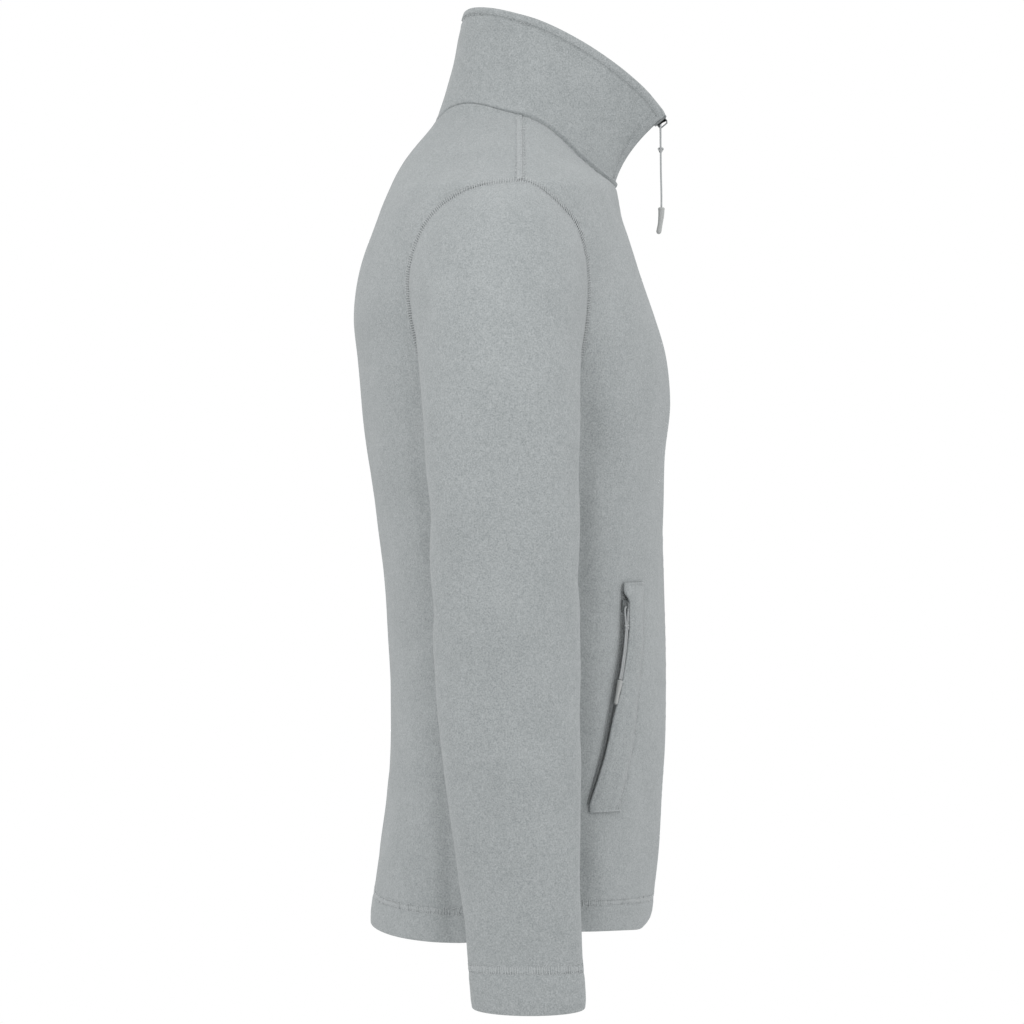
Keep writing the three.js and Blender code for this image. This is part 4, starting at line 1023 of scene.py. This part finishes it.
def sleeveForm(points):
    # creases and slow waves, dying away towards the armhole
    calm = between(points[..., 0], 206, 226) * between(-points[..., 2], 90, 150)
    side = between(-points[..., 2], 90, 160)
    return seamLook["creases"] * side * creaseDepth(sleeveCreases, points) + calm * slowWave(points, 34, 0.5)


def sleeveRelief(points, share, way):
    # the sum of the armhole's, the cuff's and the underarm seam's relief
    near, place = distanceTo(np.vstack([armholeCurve["back"], armholeCurve["front"][::-1]]), points)
    relief = coverBand(near + 0.1, place, 1.4) * (near < 12)
    # cuff: turned up and held by two rows of stitches
    toCuff = (1 - way) * sleevePart["length"]
    around = share * sleevePart["cuffRound"]
    first = toCuff - sleevePart["cuffLevel"]
    second = first + sleevePart["cuffRowGap"]
    relief = relief + stitchGroove(first, around, 8.0, 0.7, 0.8, 0.4)
    relief = relief + stitchGroove(second, around, 9.0, 1.9, 0.8, 0.45)
    relief = relief + 0.6 * between(toCuff, 1, 6) * (1 - between(first, -9, -5))
    # the underarm seam runs down the inside
    seam = np.abs(share - 0.5) * 300
    return relief - 0.6 * np.exp(-(seam / 1.6) ** 2) * between(way, 0, 0.02)


def sleeveGrid():
    # rows close together at the armhole and at the cuff's edge and stitching
    length = sleevePart["length"]
    top = dense(14, 60, 3.2)
    middle = np.linspace(60, length - 42, 112)[1:]
    cuff = length - np.array([39, 37, 35.5, 34.2, 33, 32, 31, 30, 29, 28, 27, 26.2, 25.4, 24.6, 23.8, 22.5,
                              20, 17, 13, 9, 6, 3.5, 2, 1.2, 0.7, 0.35, 0.1, 0])
    way = np.concatenate([top, middle, cuff]) / length
    share = np.linspace(0, 1, sleevePart["around"], endpoint=False)
    return np.meshgrid(share, way)


share, way = sleeveGrid()
base, normal = sleeve(share, way), sleeveNormal(share, way)
down = runningLength(base.swapaxes(0, 1)).T
toEnd = np.minimum(down, down[-1:] - down)
cuffWall = cloth["wall"] + cloth["hemFold"] * between((1 - way) * -sleevePart["length"], -33, -27)
form = sleeveForm(base)
relief = sleeveRelief(base, share, way)
outer = base + normal * (form + relief - roundedEdge(toEnd, cuffWall))[..., None]
inner = base + normal * (form - cuffWall + roundedEdge(toEnd, cuffWall))[..., None]
sleeveSides = bothSides(outer, inner, closed=True)
for side, (vertices, quads) in sleeveSides.items():
    addPiece(f"sleeve_panel_{side}", vertices, quads, fleeceCloth, "fleece", [f"sleeve_{side}"])
print("sleeves made", len(quads))


# The collar. The row of stitches below its top edge rises a little towards the back, and its base
# bulges outwards over the neck seam.
collarPart = {"topStitch": 8.0, "topStitchRise": 1.6, "zipStitch": 11, "length": 238, "waves": 0.7,
              "frontDent": 1.3, "backDent": 1.0}


def collar(turn, rise):
    # from the neck seam, rise 0, to the top edge, rise 1, drawn in towards the neck between them
    folded = foldedTurn(turn)
    key = np.degrees(folded)
    top = collarTopAt(key)
    base = torso(folded, neckLevel(folded) + cloth["seamGap"])
    rise = np.broadcast_to(rise, folded.shape)[..., None]
    point = mix(base, stack(top["x"], top["y"], top["z"]), rise)
    inward = unit(stack(-point[..., 0], -25 - point[..., 1], 0))
    point = point + inward * (collarFormAt(key)["waist"][..., None] * 4 * rise * (1 - rise))
    point[..., 0] *= np.where((turn > np.pi) | (turn < 0), -1, 1)
    return point


def collarNormal(turn, rise):
    # near the front zip the collar lies flat across the tape, so its normal there has no x
    own = normalOf(collar, turn, rise, 0.01, 0.02)
    own[..., 0] *= between(np.abs(collar(turn, rise)[..., 0]), zipSize["opening"] / 2, 2 * zipSize["tape"])
    seam = (1 - between(rise, 0, 0.12))[..., None]
    return unit(mix(own, torsoNormal(turn, neckLevel(turn)), seam))


def collarTurn(x, rise):
    # the turn at which the collar reaches x, beside the zip
    return findWhere(np.broadcast_to(float(x), np.shape(rise)), 0, np.pi / 2,
                     lambda turn: collar(turn, rise)[..., 0])


def topStitchAt(key):
    # how far below the top edge the row of stitches lies, by the turn in degrees
    return collarPart["topStitch"] - collarPart["topStitchRise"] * between(key, 60, 150)


def collarGrid():
    # rows are closest at the neck seam, the top edge and its stitching; columns at the zip
    low = [0, 0.0015, 0.005, 0.01, 0.016, 0.025, 0.035, 0.048, 0.06, 0.073, 0.086, 0.1, 0.115, 0.135]
    high = [0.86, 0.875, 0.888, 0.9, 0.91, 0.92, 0.93, 0.94, 0.952, 0.964, 0.976, 0.984, 0.99, 0.995,
            0.9985, 1]
    rise = np.concatenate([low, np.linspace(0.16, 0.84, 24), high])
    edge = collarTurn(zipSize["opening"] / 2, rise)
    half = dense(11.5, collarPart["length"], 3.0) / collarPart["length"]
    turns = mix(edge[:, None], np.pi, half ** 0.94)
    turns = np.concatenate([turns, (2 * np.pi - turns[:, :-1])[:, ::-1]], axis=1)
    return turns, np.broadcast_to(rise[:, None], turns.shape)


turn, rise = collarGrid()
base, normal = collar(turn, rise), collarNormal(turn, rise)
across, up = runningLength(base), runningLength(base.swapaxes(0, 1)).T
fromZip = np.minimum(across, across[:, -1:] - across)
fromTop = up[-1:] - up
key = np.degrees(foldedTurn(turn))
roll = collarFormAt(key)["roll"] * between(up, 0, 1.6) * (1 - between(up, 3.4, 5.2))
topWay = topStitchAt(key)
calm = between(fromZip, 4, 40) * between(up, 10, 30) * between(fromTop, 6, 20)
frontDent = collarPart["frontDent"] * np.exp(-(((key - 74) / 13) ** 2)) * between(up, 14, 40)
backDent = collarPart["backDent"] * np.exp(-(((key - 128) / 12) ** 2)) * between(up, 18, 46)
form = calm * (slowWave(base, 24, collarPart["waves"]) - frontDent - backDent)
relief = (stitchGroove(fromTop - topWay, across, 7.6, 0.5, 1.0, 1.2) * between(fromZip, 5, 7)
          + stitchGroove(fromZip - collarPart["zipStitch"], up, 6.8, 1.2, 1.0, 1.1) * between(fromTop, 5, 8)
          + 0.45 * between(fromTop, 0.8, 4) * (1 - between(fromTop - topWay, -2.5, -0.8)))
wall = cloth["collarWall"]
rounding = roundedEdge(np.minimum(np.minimum(fromZip, fromTop), up * 1.6), wall)
# the roll over the neck seam leans halfway from the cloth's normal to the collar's own above it
outward = unit(normal + collarNormal(turn, np.maximum(rise, 0.13)))
outer = base + normal * (form + relief - rounding)[..., None] + outward * roll[..., None]
inner = base + normal * (form - wall + rounding)[..., None]
vertices, quads, _ = wallMesh(outer, inner)
collarMesh = vertices, quads
addPiece("stand_collar", vertices, quads, fleeceCloth, "fleece", ["collar"])
print("collar made", len(quads))


# Each pocket welt is a folded strip sewn on beside the slit, its fold lying over the slit's edge.
weltPart = {"lift": 0.3, "wall": 2.3, "puff": 1.3, "edge": 1.2, "past": 7, "stitch": 2.2, "endStitch": 2.6}


def weltGrid():
    # the panel's own columns beside the slit, and the free fold reaching over it; the strip
    # runs past both ends of the slit
    columns = front["columns"]
    rim = np.array([0, 0.12, 0.4, 0.75, 1.2, 1.9, 2.6, 3.4, 4.5, 6])
    low, high = pocket["bottom"] - weltPart["past"], pocket["top"] + weltPart["past"]
    z = np.concatenate([low + rim, np.linspace(low + 6, high - 6, 52)[1:-1], high - rim[::-1]])
    heights = front["z"][:, columns[4]]
    rows = slice(0, topRow + 12)
    at = lambda column: np.interp(z, heights[rows], front["turn"][rows, column])
    # the share of the slit that the fold covers: more at its foot, and all of it at its top
    over = (0.2 + 0.32 * (1 - between(z, -512, -484)) - 0.08 * between(z, -448, -436)
            + 0.8 * between(z, -411, -402))
    share = np.array([0.25, 0.5, 0.7, 0.85, 0.95, 1])
    free = mix(at(columns[4])[:, None], at(columns[5])[:, None], over[:, None] * share)
    kept = [at(column) for column in range(columns[2], columns[4] + 1)]
    turns = np.concatenate([np.stack(kept, axis=1), free], axis=1)
    return turns, np.repeat(z[:, None], turns.shape[1], axis=1)


turn, z = weltGrid()
base, normal = torso(turn, z), torsoNormal(turn, z)
across, up = runningLength(base), runningLength(base.swapaxes(0, 1)).T
fromFold, fromEnd = across[:, -1:] - across, np.minimum(up, up[-1:] - up)
form = torsoForm(base) + slitAt(z)["lift"] * between(across, 3, 14) * between(fromEnd, 3, 20)
thickness = weltPart["edge"] + (weltPart["wall"] - weltPart["edge"]) * between(across, 0, 2.5)
relief = (weltPart["puff"] * between(across, 3, 10) * between(fromEnd, 5, 16) * between(fromFold, 0.5, 6)
          + stitchGroove(across - weltPart["stitch"], up, 6.4, 0.8, 0.9, 0.9)
          + stitchGroove(fromEnd - weltPart["endStitch"], across, 6.1, 1.5, 1.0, 0.6)
          + slowWave(base, 9, 0.16))
rounding = roundedEdge(np.minimum(fromFold, fromEnd * 1.4), weltPart["wall"])
outer = base + normal * (form + weltPart["lift"] + thickness + relief - rounding)[..., None]
inner = base + normal * (form + weltPart["lift"] + rounding * (fromFold < 2))[..., None]
weltSides = bothSides(outer, inner)
weltPoints, weltNormals = base, normal
weltEdgeColumn = int(np.abs(across[len(across) // 2] - weltPart["stitch"]).argmin())
for side, (vertices, quads) in weltSides.items():
    addPiece(f"welt_strip_{side}", vertices, quads, fleeceCloth, "fleece", [f"pocket_welt_{side}"])
print("welts made", len(quads))


# The zips are woven tapes, and nylon coils whose loops interlock.
zipLook = {"pitch": 1.3, "reach": 2.9, "lap": 0.5, "tooth": 0.46, "toothDepth": 0.85, "slant": 0.1,
           "tapeWall": 0.7, "coilLevel": -1.75, "pocketTape": -2.3, "pocketTapeWall": 0.8, "pocketReach": 0.3,
           "pocketLap": 0.35}
# one bead is four rings of six points: a small rod with bevelled ends
beadTurn = np.arange(6) * np.pi / 3
beadShape = np.array([(u, r * np.cos(t), r * np.sin(t))
                      for u, r in ((-1, 0.45), (-0.78, 1), (0.78, 1), (1, 0.45)) for t in beadTurn])
beadFaces = np.array([(6 * k + j, 6 * k + (j + 1) % 6, 6 * k + 6 + (j + 1) % 6, 6 * k + 6 + j)
                      for k in range(3) for j in range(6)]
                     + [(18, 19, 20, 21), (21, 22, 23, 18), (3, 2, 1, 0), (0, 5, 4, 3)])


def beads(centres, along, out, width, depth):
    # a small rounded rod at each centre; along is half its length, as a vector
    side = unit(np.cross(out, along))
    lift = unit(np.cross(along, side))
    width, depth = (np.broadcast_to(size, len(centres))[:, None] for size in (width, depth))
    axes = np.stack([along, side * width, lift * depth], axis=1)
    vertices = centres[:, None] + np.einsum("vk,nkc->nvc", beadShape, axes)
    faces = beadFaces + 24 * np.arange(len(centres))[:, None, None]
    return vertices.reshape(-1, 3), faces.reshape(-1, 4)


def joined(parts):
    # several vertex and face arrays as one
    counts = np.cumsum([0] + [len(vertices) for vertices, _ in parts])
    return (np.concatenate([vertices for vertices, _ in parts]),
            np.concatenate([faces + start for (_, faces), start in zip(parts, counts)]))


def evenly(line, pitch, shift=0.5):
    # rows of values at even distances along a line; its first three columns are the points
    length = runningLength(line[:, :3])
    at = (np.arange(int(length[-1] / pitch - shift) + 1) + shift) * pitch
    return np.stack([np.interp(at, length, column) for column in line.T], axis=-1)


def middleLine():
    # the closed zip's middle, with its normals: up the fronts' edges and then up the collar's
    z = np.append(np.linspace(levels["hem"], levels["neckFront"] - 1, 200), levels["neckFront"] - 0.5)
    turns = turnWhereX(zipSize["opening"] / 2, z)
    rise = np.linspace(0, zipSize["top"], 24)
    collarTurns = collarTurn(zipSize["opening"] / 2, rise)
    points = np.vstack([torso(turns, z), collar(collarTurns, rise)])
    normals = np.vstack([torsoNormal(turns, z), collarNormal(collarTurns, rise)])
    points[:, 0], normals[:, 0] = 0, 0
    return z, points, unit(normals)


frontZ, zipPoints, zipNormals = middleLine()
body = len(frontZ)
# beside the collar the tape is only as wide as the opening, because its rest is inside the collar
reach = np.where(np.arange(len(zipPoints)) < body - 1, zipSize["tape"], zipSize["opening"] / 2 - 0.3)
across = 0.25 + (reach[:, None] - 0.25) * np.array([0, 0.08, 0.16, 0.27, 0.42, 0.6, 0.8, 1])
points = np.repeat(zipPoints[:, None], across.shape[1], axis=1)
normals = np.repeat(zipNormals[:, None], across.shape[1], axis=1)
points[..., 0] = across
wide = np.where(across[:body] > 4.3)
wideZ = frontZ[wide[0]]
wideTurn = findWhere(across[:body][wide], 0, np.pi / 4, lambda turn: torso(turn, wideZ)[..., 0])
points[:body][wide], normals[:body][wide] = torso(wideTurn, wideZ), torsoNormal(wideTurn, wideZ)
heights = np.concatenate([frontZ, np.zeros(len(zipPoints) - body)])
curl = np.where(heights < 0, hemCurl(0, heights), 0)
clear = cloth["hemFold"] * (1 - between(heights, levels["hem"] + 26, levels["hem"] + 36)) + curl
face = zipSize["tapeFace"] - clear[:, None] + 0.05 * np.sin(points[..., 2] / 5)
outer = points + normals * face[..., None]
inner = points + normals * (face - zipLook["tapeWall"])[..., None]
vertices, quads, used = wallMesh(outer, inner)
along = np.broadcast_to(runningLength(zipPoints)[:, None], across.shape)
uv = np.stack([across, along], axis=-1).reshape(-1, 2)
uv = np.vstack([uv, uv])[used]
for side, flip in (("left", 1), ("right", -1)):
    addPiece(f"front_zip_tape_{side}", vertices * [flip, 1, 1], quads[:, ::flip], zipTape, "zip_tape",
             [f"front_zip_{side}"], uv)

middle = np.hstack([zipPoints - zipNormals * curl[:, None], zipNormals])
for side, flip, shift in (("left", 1, 0.5), ("right", -1, 1.0)):
    rows = evenly(middle, zipLook["pitch"], shift)
    up = unit(np.gradient(rows[:, :3], axis=0))
    half = (zipLook["reach"] + zipLook["lap"]) / 2
    centres = rows[:, :3] + rows[:, 3:] * zipLook["coilLevel"] + [flip * (half - zipLook["lap"]), 0, 0]
    loops = np.array([flip * half, 0, 0]) + up * zipLook["slant"] * flip
    coil = beads(centres, loops, rows[:, 3:], zipLook["tooth"], zipLook["toothDepth"])
    addPiece(f"front_zip_coil_{side}", *coil, nylonCoil, "zip_tape", [f"front_zip_{side}"])

# pocket zips: one tape across behind the slit, and the two coils down its middle
turn, z = front["turn"][bottomRow:topRow + 1], front["z"][bottomRow:topRow + 1]
columns = front["columns"]
# the tape's columns, each at a share of one of its three blocks: hidden, in the slit, hidden
edges = [turn[:, columns[k]] for k in (3, 4, 5, 6)]
places = [(0, 0), (0, 0.5), (1, 0), (1, 0.3), (1, 0.5), (1, 0.7), (2, 0), (2, 0.5), (2, 1)]
turns = np.stack([mix(edges[k], edges[k + 1], share) for k, share in places], axis=1)
z = np.repeat(z[:, columns[4], None], turns.shape[1], axis=1)
points, normals = torso(turns, z), torsoNormal(turns, z)
form = torsoForm(points)
face = form + zipLook["pocketTape"]
vertices, quads, used = wallMesh(points + normals * face[..., None],
                                 points + normals * (face - zipLook["pocketTapeWall"])[..., None])
uv = np.stack([runningLength(points), z], axis=-1).reshape(-1, 2)
uv = np.vstack([uv, uv])[used]
middle = points.shape[1] // 2
width = np.linalg.norm(points[:, 6] - points[:, 2], axis=1)
line = np.hstack([points[:, middle] + normals[:, middle] * form[:, middle, None], normals[:, middle],
                  unit(points[:, 6] - points[:, 2]), width[:, None]])
for side, flip in (("left", 1), ("right", -1)):
    addPiece(f"pocket_zip_tape_{side}", vertices * [flip, 1, 1], quads[:, ::flip], zipTape, "zip_tape",
             [f"pocket_zip_{side}"], uv)
    loops = []
    for hand, shift in ((1, 0.5), (-1, 1.0)):
        rows = evenly(line, zipLook["pitch"], shift) * np.array([flip, 1, 1, flip, 1, 1, flip, 1, 1, 1])
        half = (rows[:, 9:] * zipLook["pocketReach"] + zipLook["pocketLap"]) / 2
        centres = (rows[:, :3] + rows[:, 3:6] * zipLook["coilLevel"]
                   + rows[:, 6:9] * hand * (half - zipLook["pocketLap"]))
        loops.append(beads(centres, rows[:, 6:9] * half, rows[:, 3:6],
                           zipLook["tooth"], zipLook["toothDepth"]))
    addPiece(f"pocket_zip_coil_{side}", *joined(loops), nylonCoil, "zip_tape", [f"pocket_zip_{side}"])
print("zips made")


# The sliders keep the castings' own form, with rounded edges. The front one is drawn larger than
# its solid, as in the photograph.
sliderLook = {"frontSize": 1.25, "edge": 0.22, "segments": 3}


def castPiece(node, size=1):
    # a merged copy of the node's mesh, each corner moved away from its middle by the size
    source = frame["nodes"][node]
    mesh = bmesh.new()
    mesh.from_mesh(source.data)
    corners = np.array([list(vertex.co) for vertex in mesh.verts])
    centre = (corners.min(axis=0) + corners.max(axis=0)) / 2
    for vertex, place in zip(mesh.verts, centre + (corners - centre) * size):
        vertex.co = place
    bmesh.ops.remove_doubles(mesh, verts=mesh.verts, dist=0.01 * mm)
    bmesh.ops.dissolve_limit(mesh, angle_limit=0.02, verts=mesh.verts, edges=mesh.edges)
    data = bpy.data.meshes.new(f"{node}_casting")
    mesh.to_mesh(data)
    mesh.free()
    data.materials.clear()
    data.materials.append(castSlider)
    data.polygons.foreach_set("use_smooth", np.ones(len(data.polygons), bool))
    piece = bpy.data.objects.new(f"{node}_casting", data)
    bpy.context.collection.objects.link(piece)
    bevel = piece.modifiers.new("rounded_edges", "BEVEL")
    bevel.width, bevel.segments = sliderLook["edge"] * mm, sliderLook["segments"]
    bevel.limit_method, bevel.harden_normals = "ANGLE", True
    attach(piece, "root")
    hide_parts(node)


castPiece("front_slider", sliderLook["frontSize"])
castPiece("pocket_slider_left")
castPiece("pocket_slider_right")
print("sliders made")


# Every stitch is a short length of thread lying on the cloth.
stitchLook = {"pitch": 3.1, "length": 0.7, "dip": 0.15, "thread": 0.28, "rungPitch": 1.95, "rung": 0.42,
              "rungDepth": 0.3, "rungLift": 0.05, "crestLift": 0.2, "sink": 0.02, "neckRow": 2.0}


def surfaceTree(vertices, quads):
    # a search tree of a mesh's faces
    return BVHTree.FromPolygons(vertices.tolist(), quads.tolist())


def onto(tree, rows, lift):
    # the cloth's own surface nearest to each row's point, looked for from outside it
    found = [tree.find_nearest(point) for point in (rows[:, :3] + rows[:, 3:6] * 2.5).tolist()]
    places, normals = (np.array([hit[k] for hit in found]) for k in (0, 1))
    return places + normals * lift, normals


def stitchRun(line, tree, pitch=None):
    # a row of stitches: each runs for a share of the pitch and then dips into the cloth
    pitch = pitch or stitchLook["pitch"]
    first, _ = onto(tree, evenly(line, pitch, stitchLook["dip"]), stitchLook["sink"])
    second, normals = onto(tree, evenly(line, pitch, stitchLook["dip"] + stitchLook["length"]),
                           stitchLook["sink"])
    count = min(len(first), len(second))
    first, second = first[:count], second[:count]
    return beads((first + second) / 2, (second - first) / 2, normals[:count],
                 stitchLook["thread"], stitchLook["thread"])


def rungRun(lineA, lineB, treeA, treeB, bent=False):
    # the looper thread's rungs, from one row of stitches across to the other; a bent rung goes over
    # the cloth that is higher at its middle
    lengths = [runningLength(line[:, :3]) for line in (lineA, lineB)]
    count = int(min(length[-1] for length in lengths) / stitchLook["rungPitch"])
    share = (np.arange(count) + 0.5) / count
    rows = [np.stack([np.interp(share, length / length[-1], column) for column in line.T], axis=-1)
            for line, length in zip((lineA, lineB), lengths)]
    first, normals = onto(treeA, rows[0], stitchLook["sink"])
    second, others = onto(treeB, rows[1], stitchLook["sink"])
    out = unit(normals + others)
    if not bent:
        return beads((first + second) / 2 + out * stitchLook["rungLift"], (second - first) / 2, out,
                     stitchLook["rung"], stitchLook["rungDepth"])
    middle = np.hstack([(first + second) / 2, out])
    crests = [onto(tree, middle, stitchLook["sink"])[0] for tree in (treeA, treeB)]
    higher = ((crests[0] - crests[1]) * out).sum(axis=1, keepdims=True) > 0
    crest = np.where(higher, crests[0], crests[1]) + out * stitchLook["crestLift"]
    return joined([beads((a + b) / 2, (b - a) / 2, out, stitchLook["rung"], stitchLook["rungDepth"])
                   for a, b in ((first, crest), (crest, second))])


def torsoLine(turn, z):
    # points on the torso with their normals, lifted as the hem is
    turn, z = np.broadcast_arrays(turn, z)
    points = torso(turn, z)
    return np.hstack([points + stack(0 * z, 0 * z, hemLift(turn, z)), torsoNormal(turn, z)])


def mirrorLine(line):
    # the same line on the wearer's right
    return line * [-1, 1, 1, -1, 1, 1]


def armholeLine(table, away):
    # the armhole seam moved away from its opening
    turn, z = armholeHalf(table, away, 260)
    return torsoLine(turn, z)


def sewn(name, parts):
    # stitches joined as one piece
    return addPiece(name, *joined(parts), thread, "fleece")


trees = {"back": surfaceTree(*backMesh), "collar": surfaceTree(*collarMesh)}
for word, sides in (("front", frontSides), ("sleeve", sleeveSides), ("welt", weltSides)):
    for side, mesh in sides.items():
        trees[f"{word}_{side}"] = surfaceTree(*mesh)

hemLow = levels["hem"] + levels["hemStitch"]
hemHigh = hemLow + levels["hemRowGap"]
zipTurn = float(turnWhereX(8.5, np.array([hemLow]))[0])
hemTurns = {"front_left": np.linspace(zipTurn, np.pi / 2, 120),
            "front_right": np.linspace(-zipTurn, -np.pi / 2, 120),
            "back": np.linspace(np.pi / 2, 1.5 * np.pi, 240)}
hemStitches = []
for part, turns in hemTurns.items():
    low, high = torsoLine(turns, hemLow), torsoLine(turns, hemHigh)
    hemStitches += [stitchRun(low, trees[part]), stitchRun(high, trees[part]),
                    rungRun(low, high, trees[part], trees[part])]
sewn("hem_stitching", hemStitches)

for side, flip in (("left", lambda line: line), ("right", mirrorLine)):
    rungs, runs = [], []
    for part, table in ((f"front_{side}", armholeFront), ("back", armholeBack)):
        inside, outside = (flip(armholeLine(table, away)) for away in seamLook["armholeBand"])
        rungs.append(rungRun(outside, inside, trees[part], trees[f"sleeve_{side}"], bent=True))
        runs += [stitchRun(outside, trees[part]), stitchRun(inside, trees[f"sleeve_{side}"])]
    sewn(f"armhole_stitching_{side}", rungs + runs)
    # cuff: two rows joined by rungs
    share, lowWay = np.linspace(0, 1, 200), 1 - sleevePart["cuffLevel"] / sleevePart["length"]
    cuffLines = []
    for way in (lowWay, lowWay + sleevePart["cuffRowGap"] / sleevePart["length"]):
        ways = np.full(200, way)
        cuffLines.append(flip(np.hstack([sleeve(share, ways), sleeveNormal(share, ways)])))
    tree = trees[f"sleeve_{side}"]
    sewn(f"cuff_stitching_{side}", [stitchRun(cuffLines[0], tree), stitchRun(cuffLines[1], tree),
                                    rungRun(*cuffLines, tree, tree)])
    # shoulder: the band crosses the seam and lies mostly behind it
    levelsAlong = np.linspace(levels["shoulder"] + 1.5, neckLevel(np.pi / 2) - 2.5, 120)
    bandLines = [flip(torsoLine(turnWhereY(np.full(120, y), levelsAlong), levelsAlong))
                 for y in seamLook["shoulderBand"]]
    sewn(f"shoulder_stitching_{side}", [stitchRun(bandLines[0], trees[f"front_{side}"]),
                                        stitchRun(bandLines[1], trees["back"]),
                                        rungRun(*bandLines, trees[f"front_{side}"], trees["back"])])
    # front edge: one row beside the zip, from above the hem to the neck
    rows = np.linspace(hemHigh + 2, levels["neckFront"] - 3, 200)
    edge = flip(torsoLine(turnWhereX(zipSize["opening"] / 2 + zipSize["topstitch"], rows), rows))
    sewn(f"front_edge_stitching_{side}", [stitchRun(edge, trees[f"front_{side}"], 3.4)])
    # neck: one row just below the collar's seam
    turns = np.radians(np.linspace(7, 88.5, 120))
    neckRow = torsoLine(turns, neckLevel(turns) - stitchLook["neckRow"])
    sewn(f"neck_stitching_{side}", [stitchRun(flip(neckRow), trees[f"front_{side}"])])
    # welt: beside its outer edge and across both ends
    ends = slice(weltEdgeColumn, -7)
    weltLines = [np.hstack([weltPoints[a], weltNormals[a]])
                 for a in ((slice(3, -3), weltEdgeColumn), (3, ends), (-4, ends))]
    sewn(f"welt_stitching_{side}", [stitchRun(flip(line), trees[f"welt_{side}"]) for line in weltLines])


def collarLine(turn, rise):
    # points on the collar with their normals
    return np.hstack([collar(turn, rise), collarNormal(turn, rise)])


def collarRise(turn, below):
    # the rise that lies a distance below the collar's top, along its surface
    rise = np.linspace(1, 0.5, 40)
    column = collar(np.repeat(turn[:, None], 40, axis=1), rise)
    length = runningLength(column)
    return np.array([np.interp(d, l, rise) for d, l in zip(np.broadcast_to(below, turn.shape), length)])


def collarEdgeTurn(rise, away):
    # the turn at a distance from the collar's front edge
    turns = collarTurn(zipSize["opening"] / 2, rise)[:, None] + np.linspace(0, 0.6, 80)
    length = runningLength(collar(turns, np.repeat(rise[:, None], 80, axis=1)))
    return np.array([np.interp(away, l, t) for l, t in zip(length, turns)])


turns = np.radians(np.linspace(5, 355, 500))
topRise = collarRise(turns, topStitchAt(np.degrees(foldedTurn(turns))))
fromEdge = np.abs(collar(turns, topRise)[:, 0]) > 6
collarLines = [collarLine(turns[fromEdge], topRise[fromEdge])]
edgeRise = np.linspace(0.08, 0.93, 60)
edgeLine = collarLine(collarEdgeTurn(edgeRise, collarPart["zipStitch"]), edgeRise)
collarLines += [edgeLine, mirrorLine(edgeLine)]
turns = np.radians(np.linspace(92, 268, 200))
napeRow = torsoLine(turns, neckLevel(turns) - stitchLook["neckRow"])
sewn("nape_stitching", [stitchRun(napeRow, trees["back"])])
sewn("collar_stitching", [stitchRun(line, trees["collar"], 3.3) for line in collarLines])
print("stitches made")


# The cloth pieces' cut sizes, flat, of what shows: width and length in metres, and area.
sheets = {
    "back_panel": (0.57, 0.72, 0.36),
    "front_panel_left": (0.29, 0.66, 0.165), "front_panel_right": (0.29, 0.66, 0.165),
    "sleeve_panel_left": (0.38, 0.70, 0.205), "sleeve_panel_right": (0.38, 0.70, 0.205),
    "stand_collar": (0.49, 0.12, 0.043),
    "welt_strip_left": (0.034, 0.188, 0.0058), "welt_strip_right": (0.034, 0.188, 0.0058),
}


def surfaceArea(name):
    # in square metres, of both faces and the edges
    polygons = bpy.data.objects[name].data.polygons
    areas = np.zeros(len(polygons))
    polygons.foreach_get("area", areas)
    return areas.sum()


for name, (width, length, area) in sheets.items():
    print(name, round(surfaceArea(name) / 2, 4))


# A white room: a floor far below the jacket, a white world and three soft lamps, in metres and watts.
room = {"floorLevel": -1.45, "floorHalf": 3, "world": 1.0}
lamps = {
    "soft_key": {"place": (-1.2, 0.18, 0.47), "aim": (0, 0, -0.2), "size": 0.7, "power": 3.8},
    "soft_overhead": {"place": (0.3, 0.1, 1.9), "aim": (0, 0, -0.25), "size": 1.6, "power": 0.5},
    "soft_front": {"place": (-0.6, -1.9, 0.5), "aim": (0, 0, -0.35), "size": 1.4, "power": 2},
}
floorMesh = bpy.data.meshes.new("floor")
half, low = room["floorHalf"], room["floorLevel"]
floorMesh.from_pydata([(-half, -half, low), (half, -half, low), (half, half, low), (-half, half, low)], [],
                      [(0, 1, 2, 3)])
floor = bpy.data.objects.new("floor", floorMesh)
bpy.context.collection.objects.link(floor)
# White emulsion paint on a smooth floor: matt, with a faint drift.
floorMesh.materials.append(makePlain("pale_painted_floor", "#f4f4f4", "#eeeeee", 400, 0.01,
                                     {"Roughness": 0.8}))

world = bpy.data.worlds.new("studio")
bpy.context.scene.world = world
world.use_nodes = True
world.node_tree.nodes["Background"].inputs["Color"].default_value = (1, 1, 1, 1)
world.node_tree.nodes["Background"].inputs["Strength"].default_value = room["world"]


def addLight(name, place, aim, size, power):
    data = bpy.data.lights.new(name, "AREA")
    data.shape, data.size, data.energy = "DISK", size, power
    lamp = bpy.data.objects.new(name, data)
    lamp.location = place
    # a disc lamp turned so that its face looks at the aim
    direction = np.array(aim, float) - np.array(place, float)
    lamp.rotation_euler = (np.arccos(-unit(direction)[2]), 0, np.arctan2(-direction[0], direction[1]))
    bpy.context.collection.objects.link(lamp)


for name, lamp in lamps.items():
    addLight(name, **lamp)
bpy.context.scene.view_settings.view_transform = "Standard"

print("scene ready")
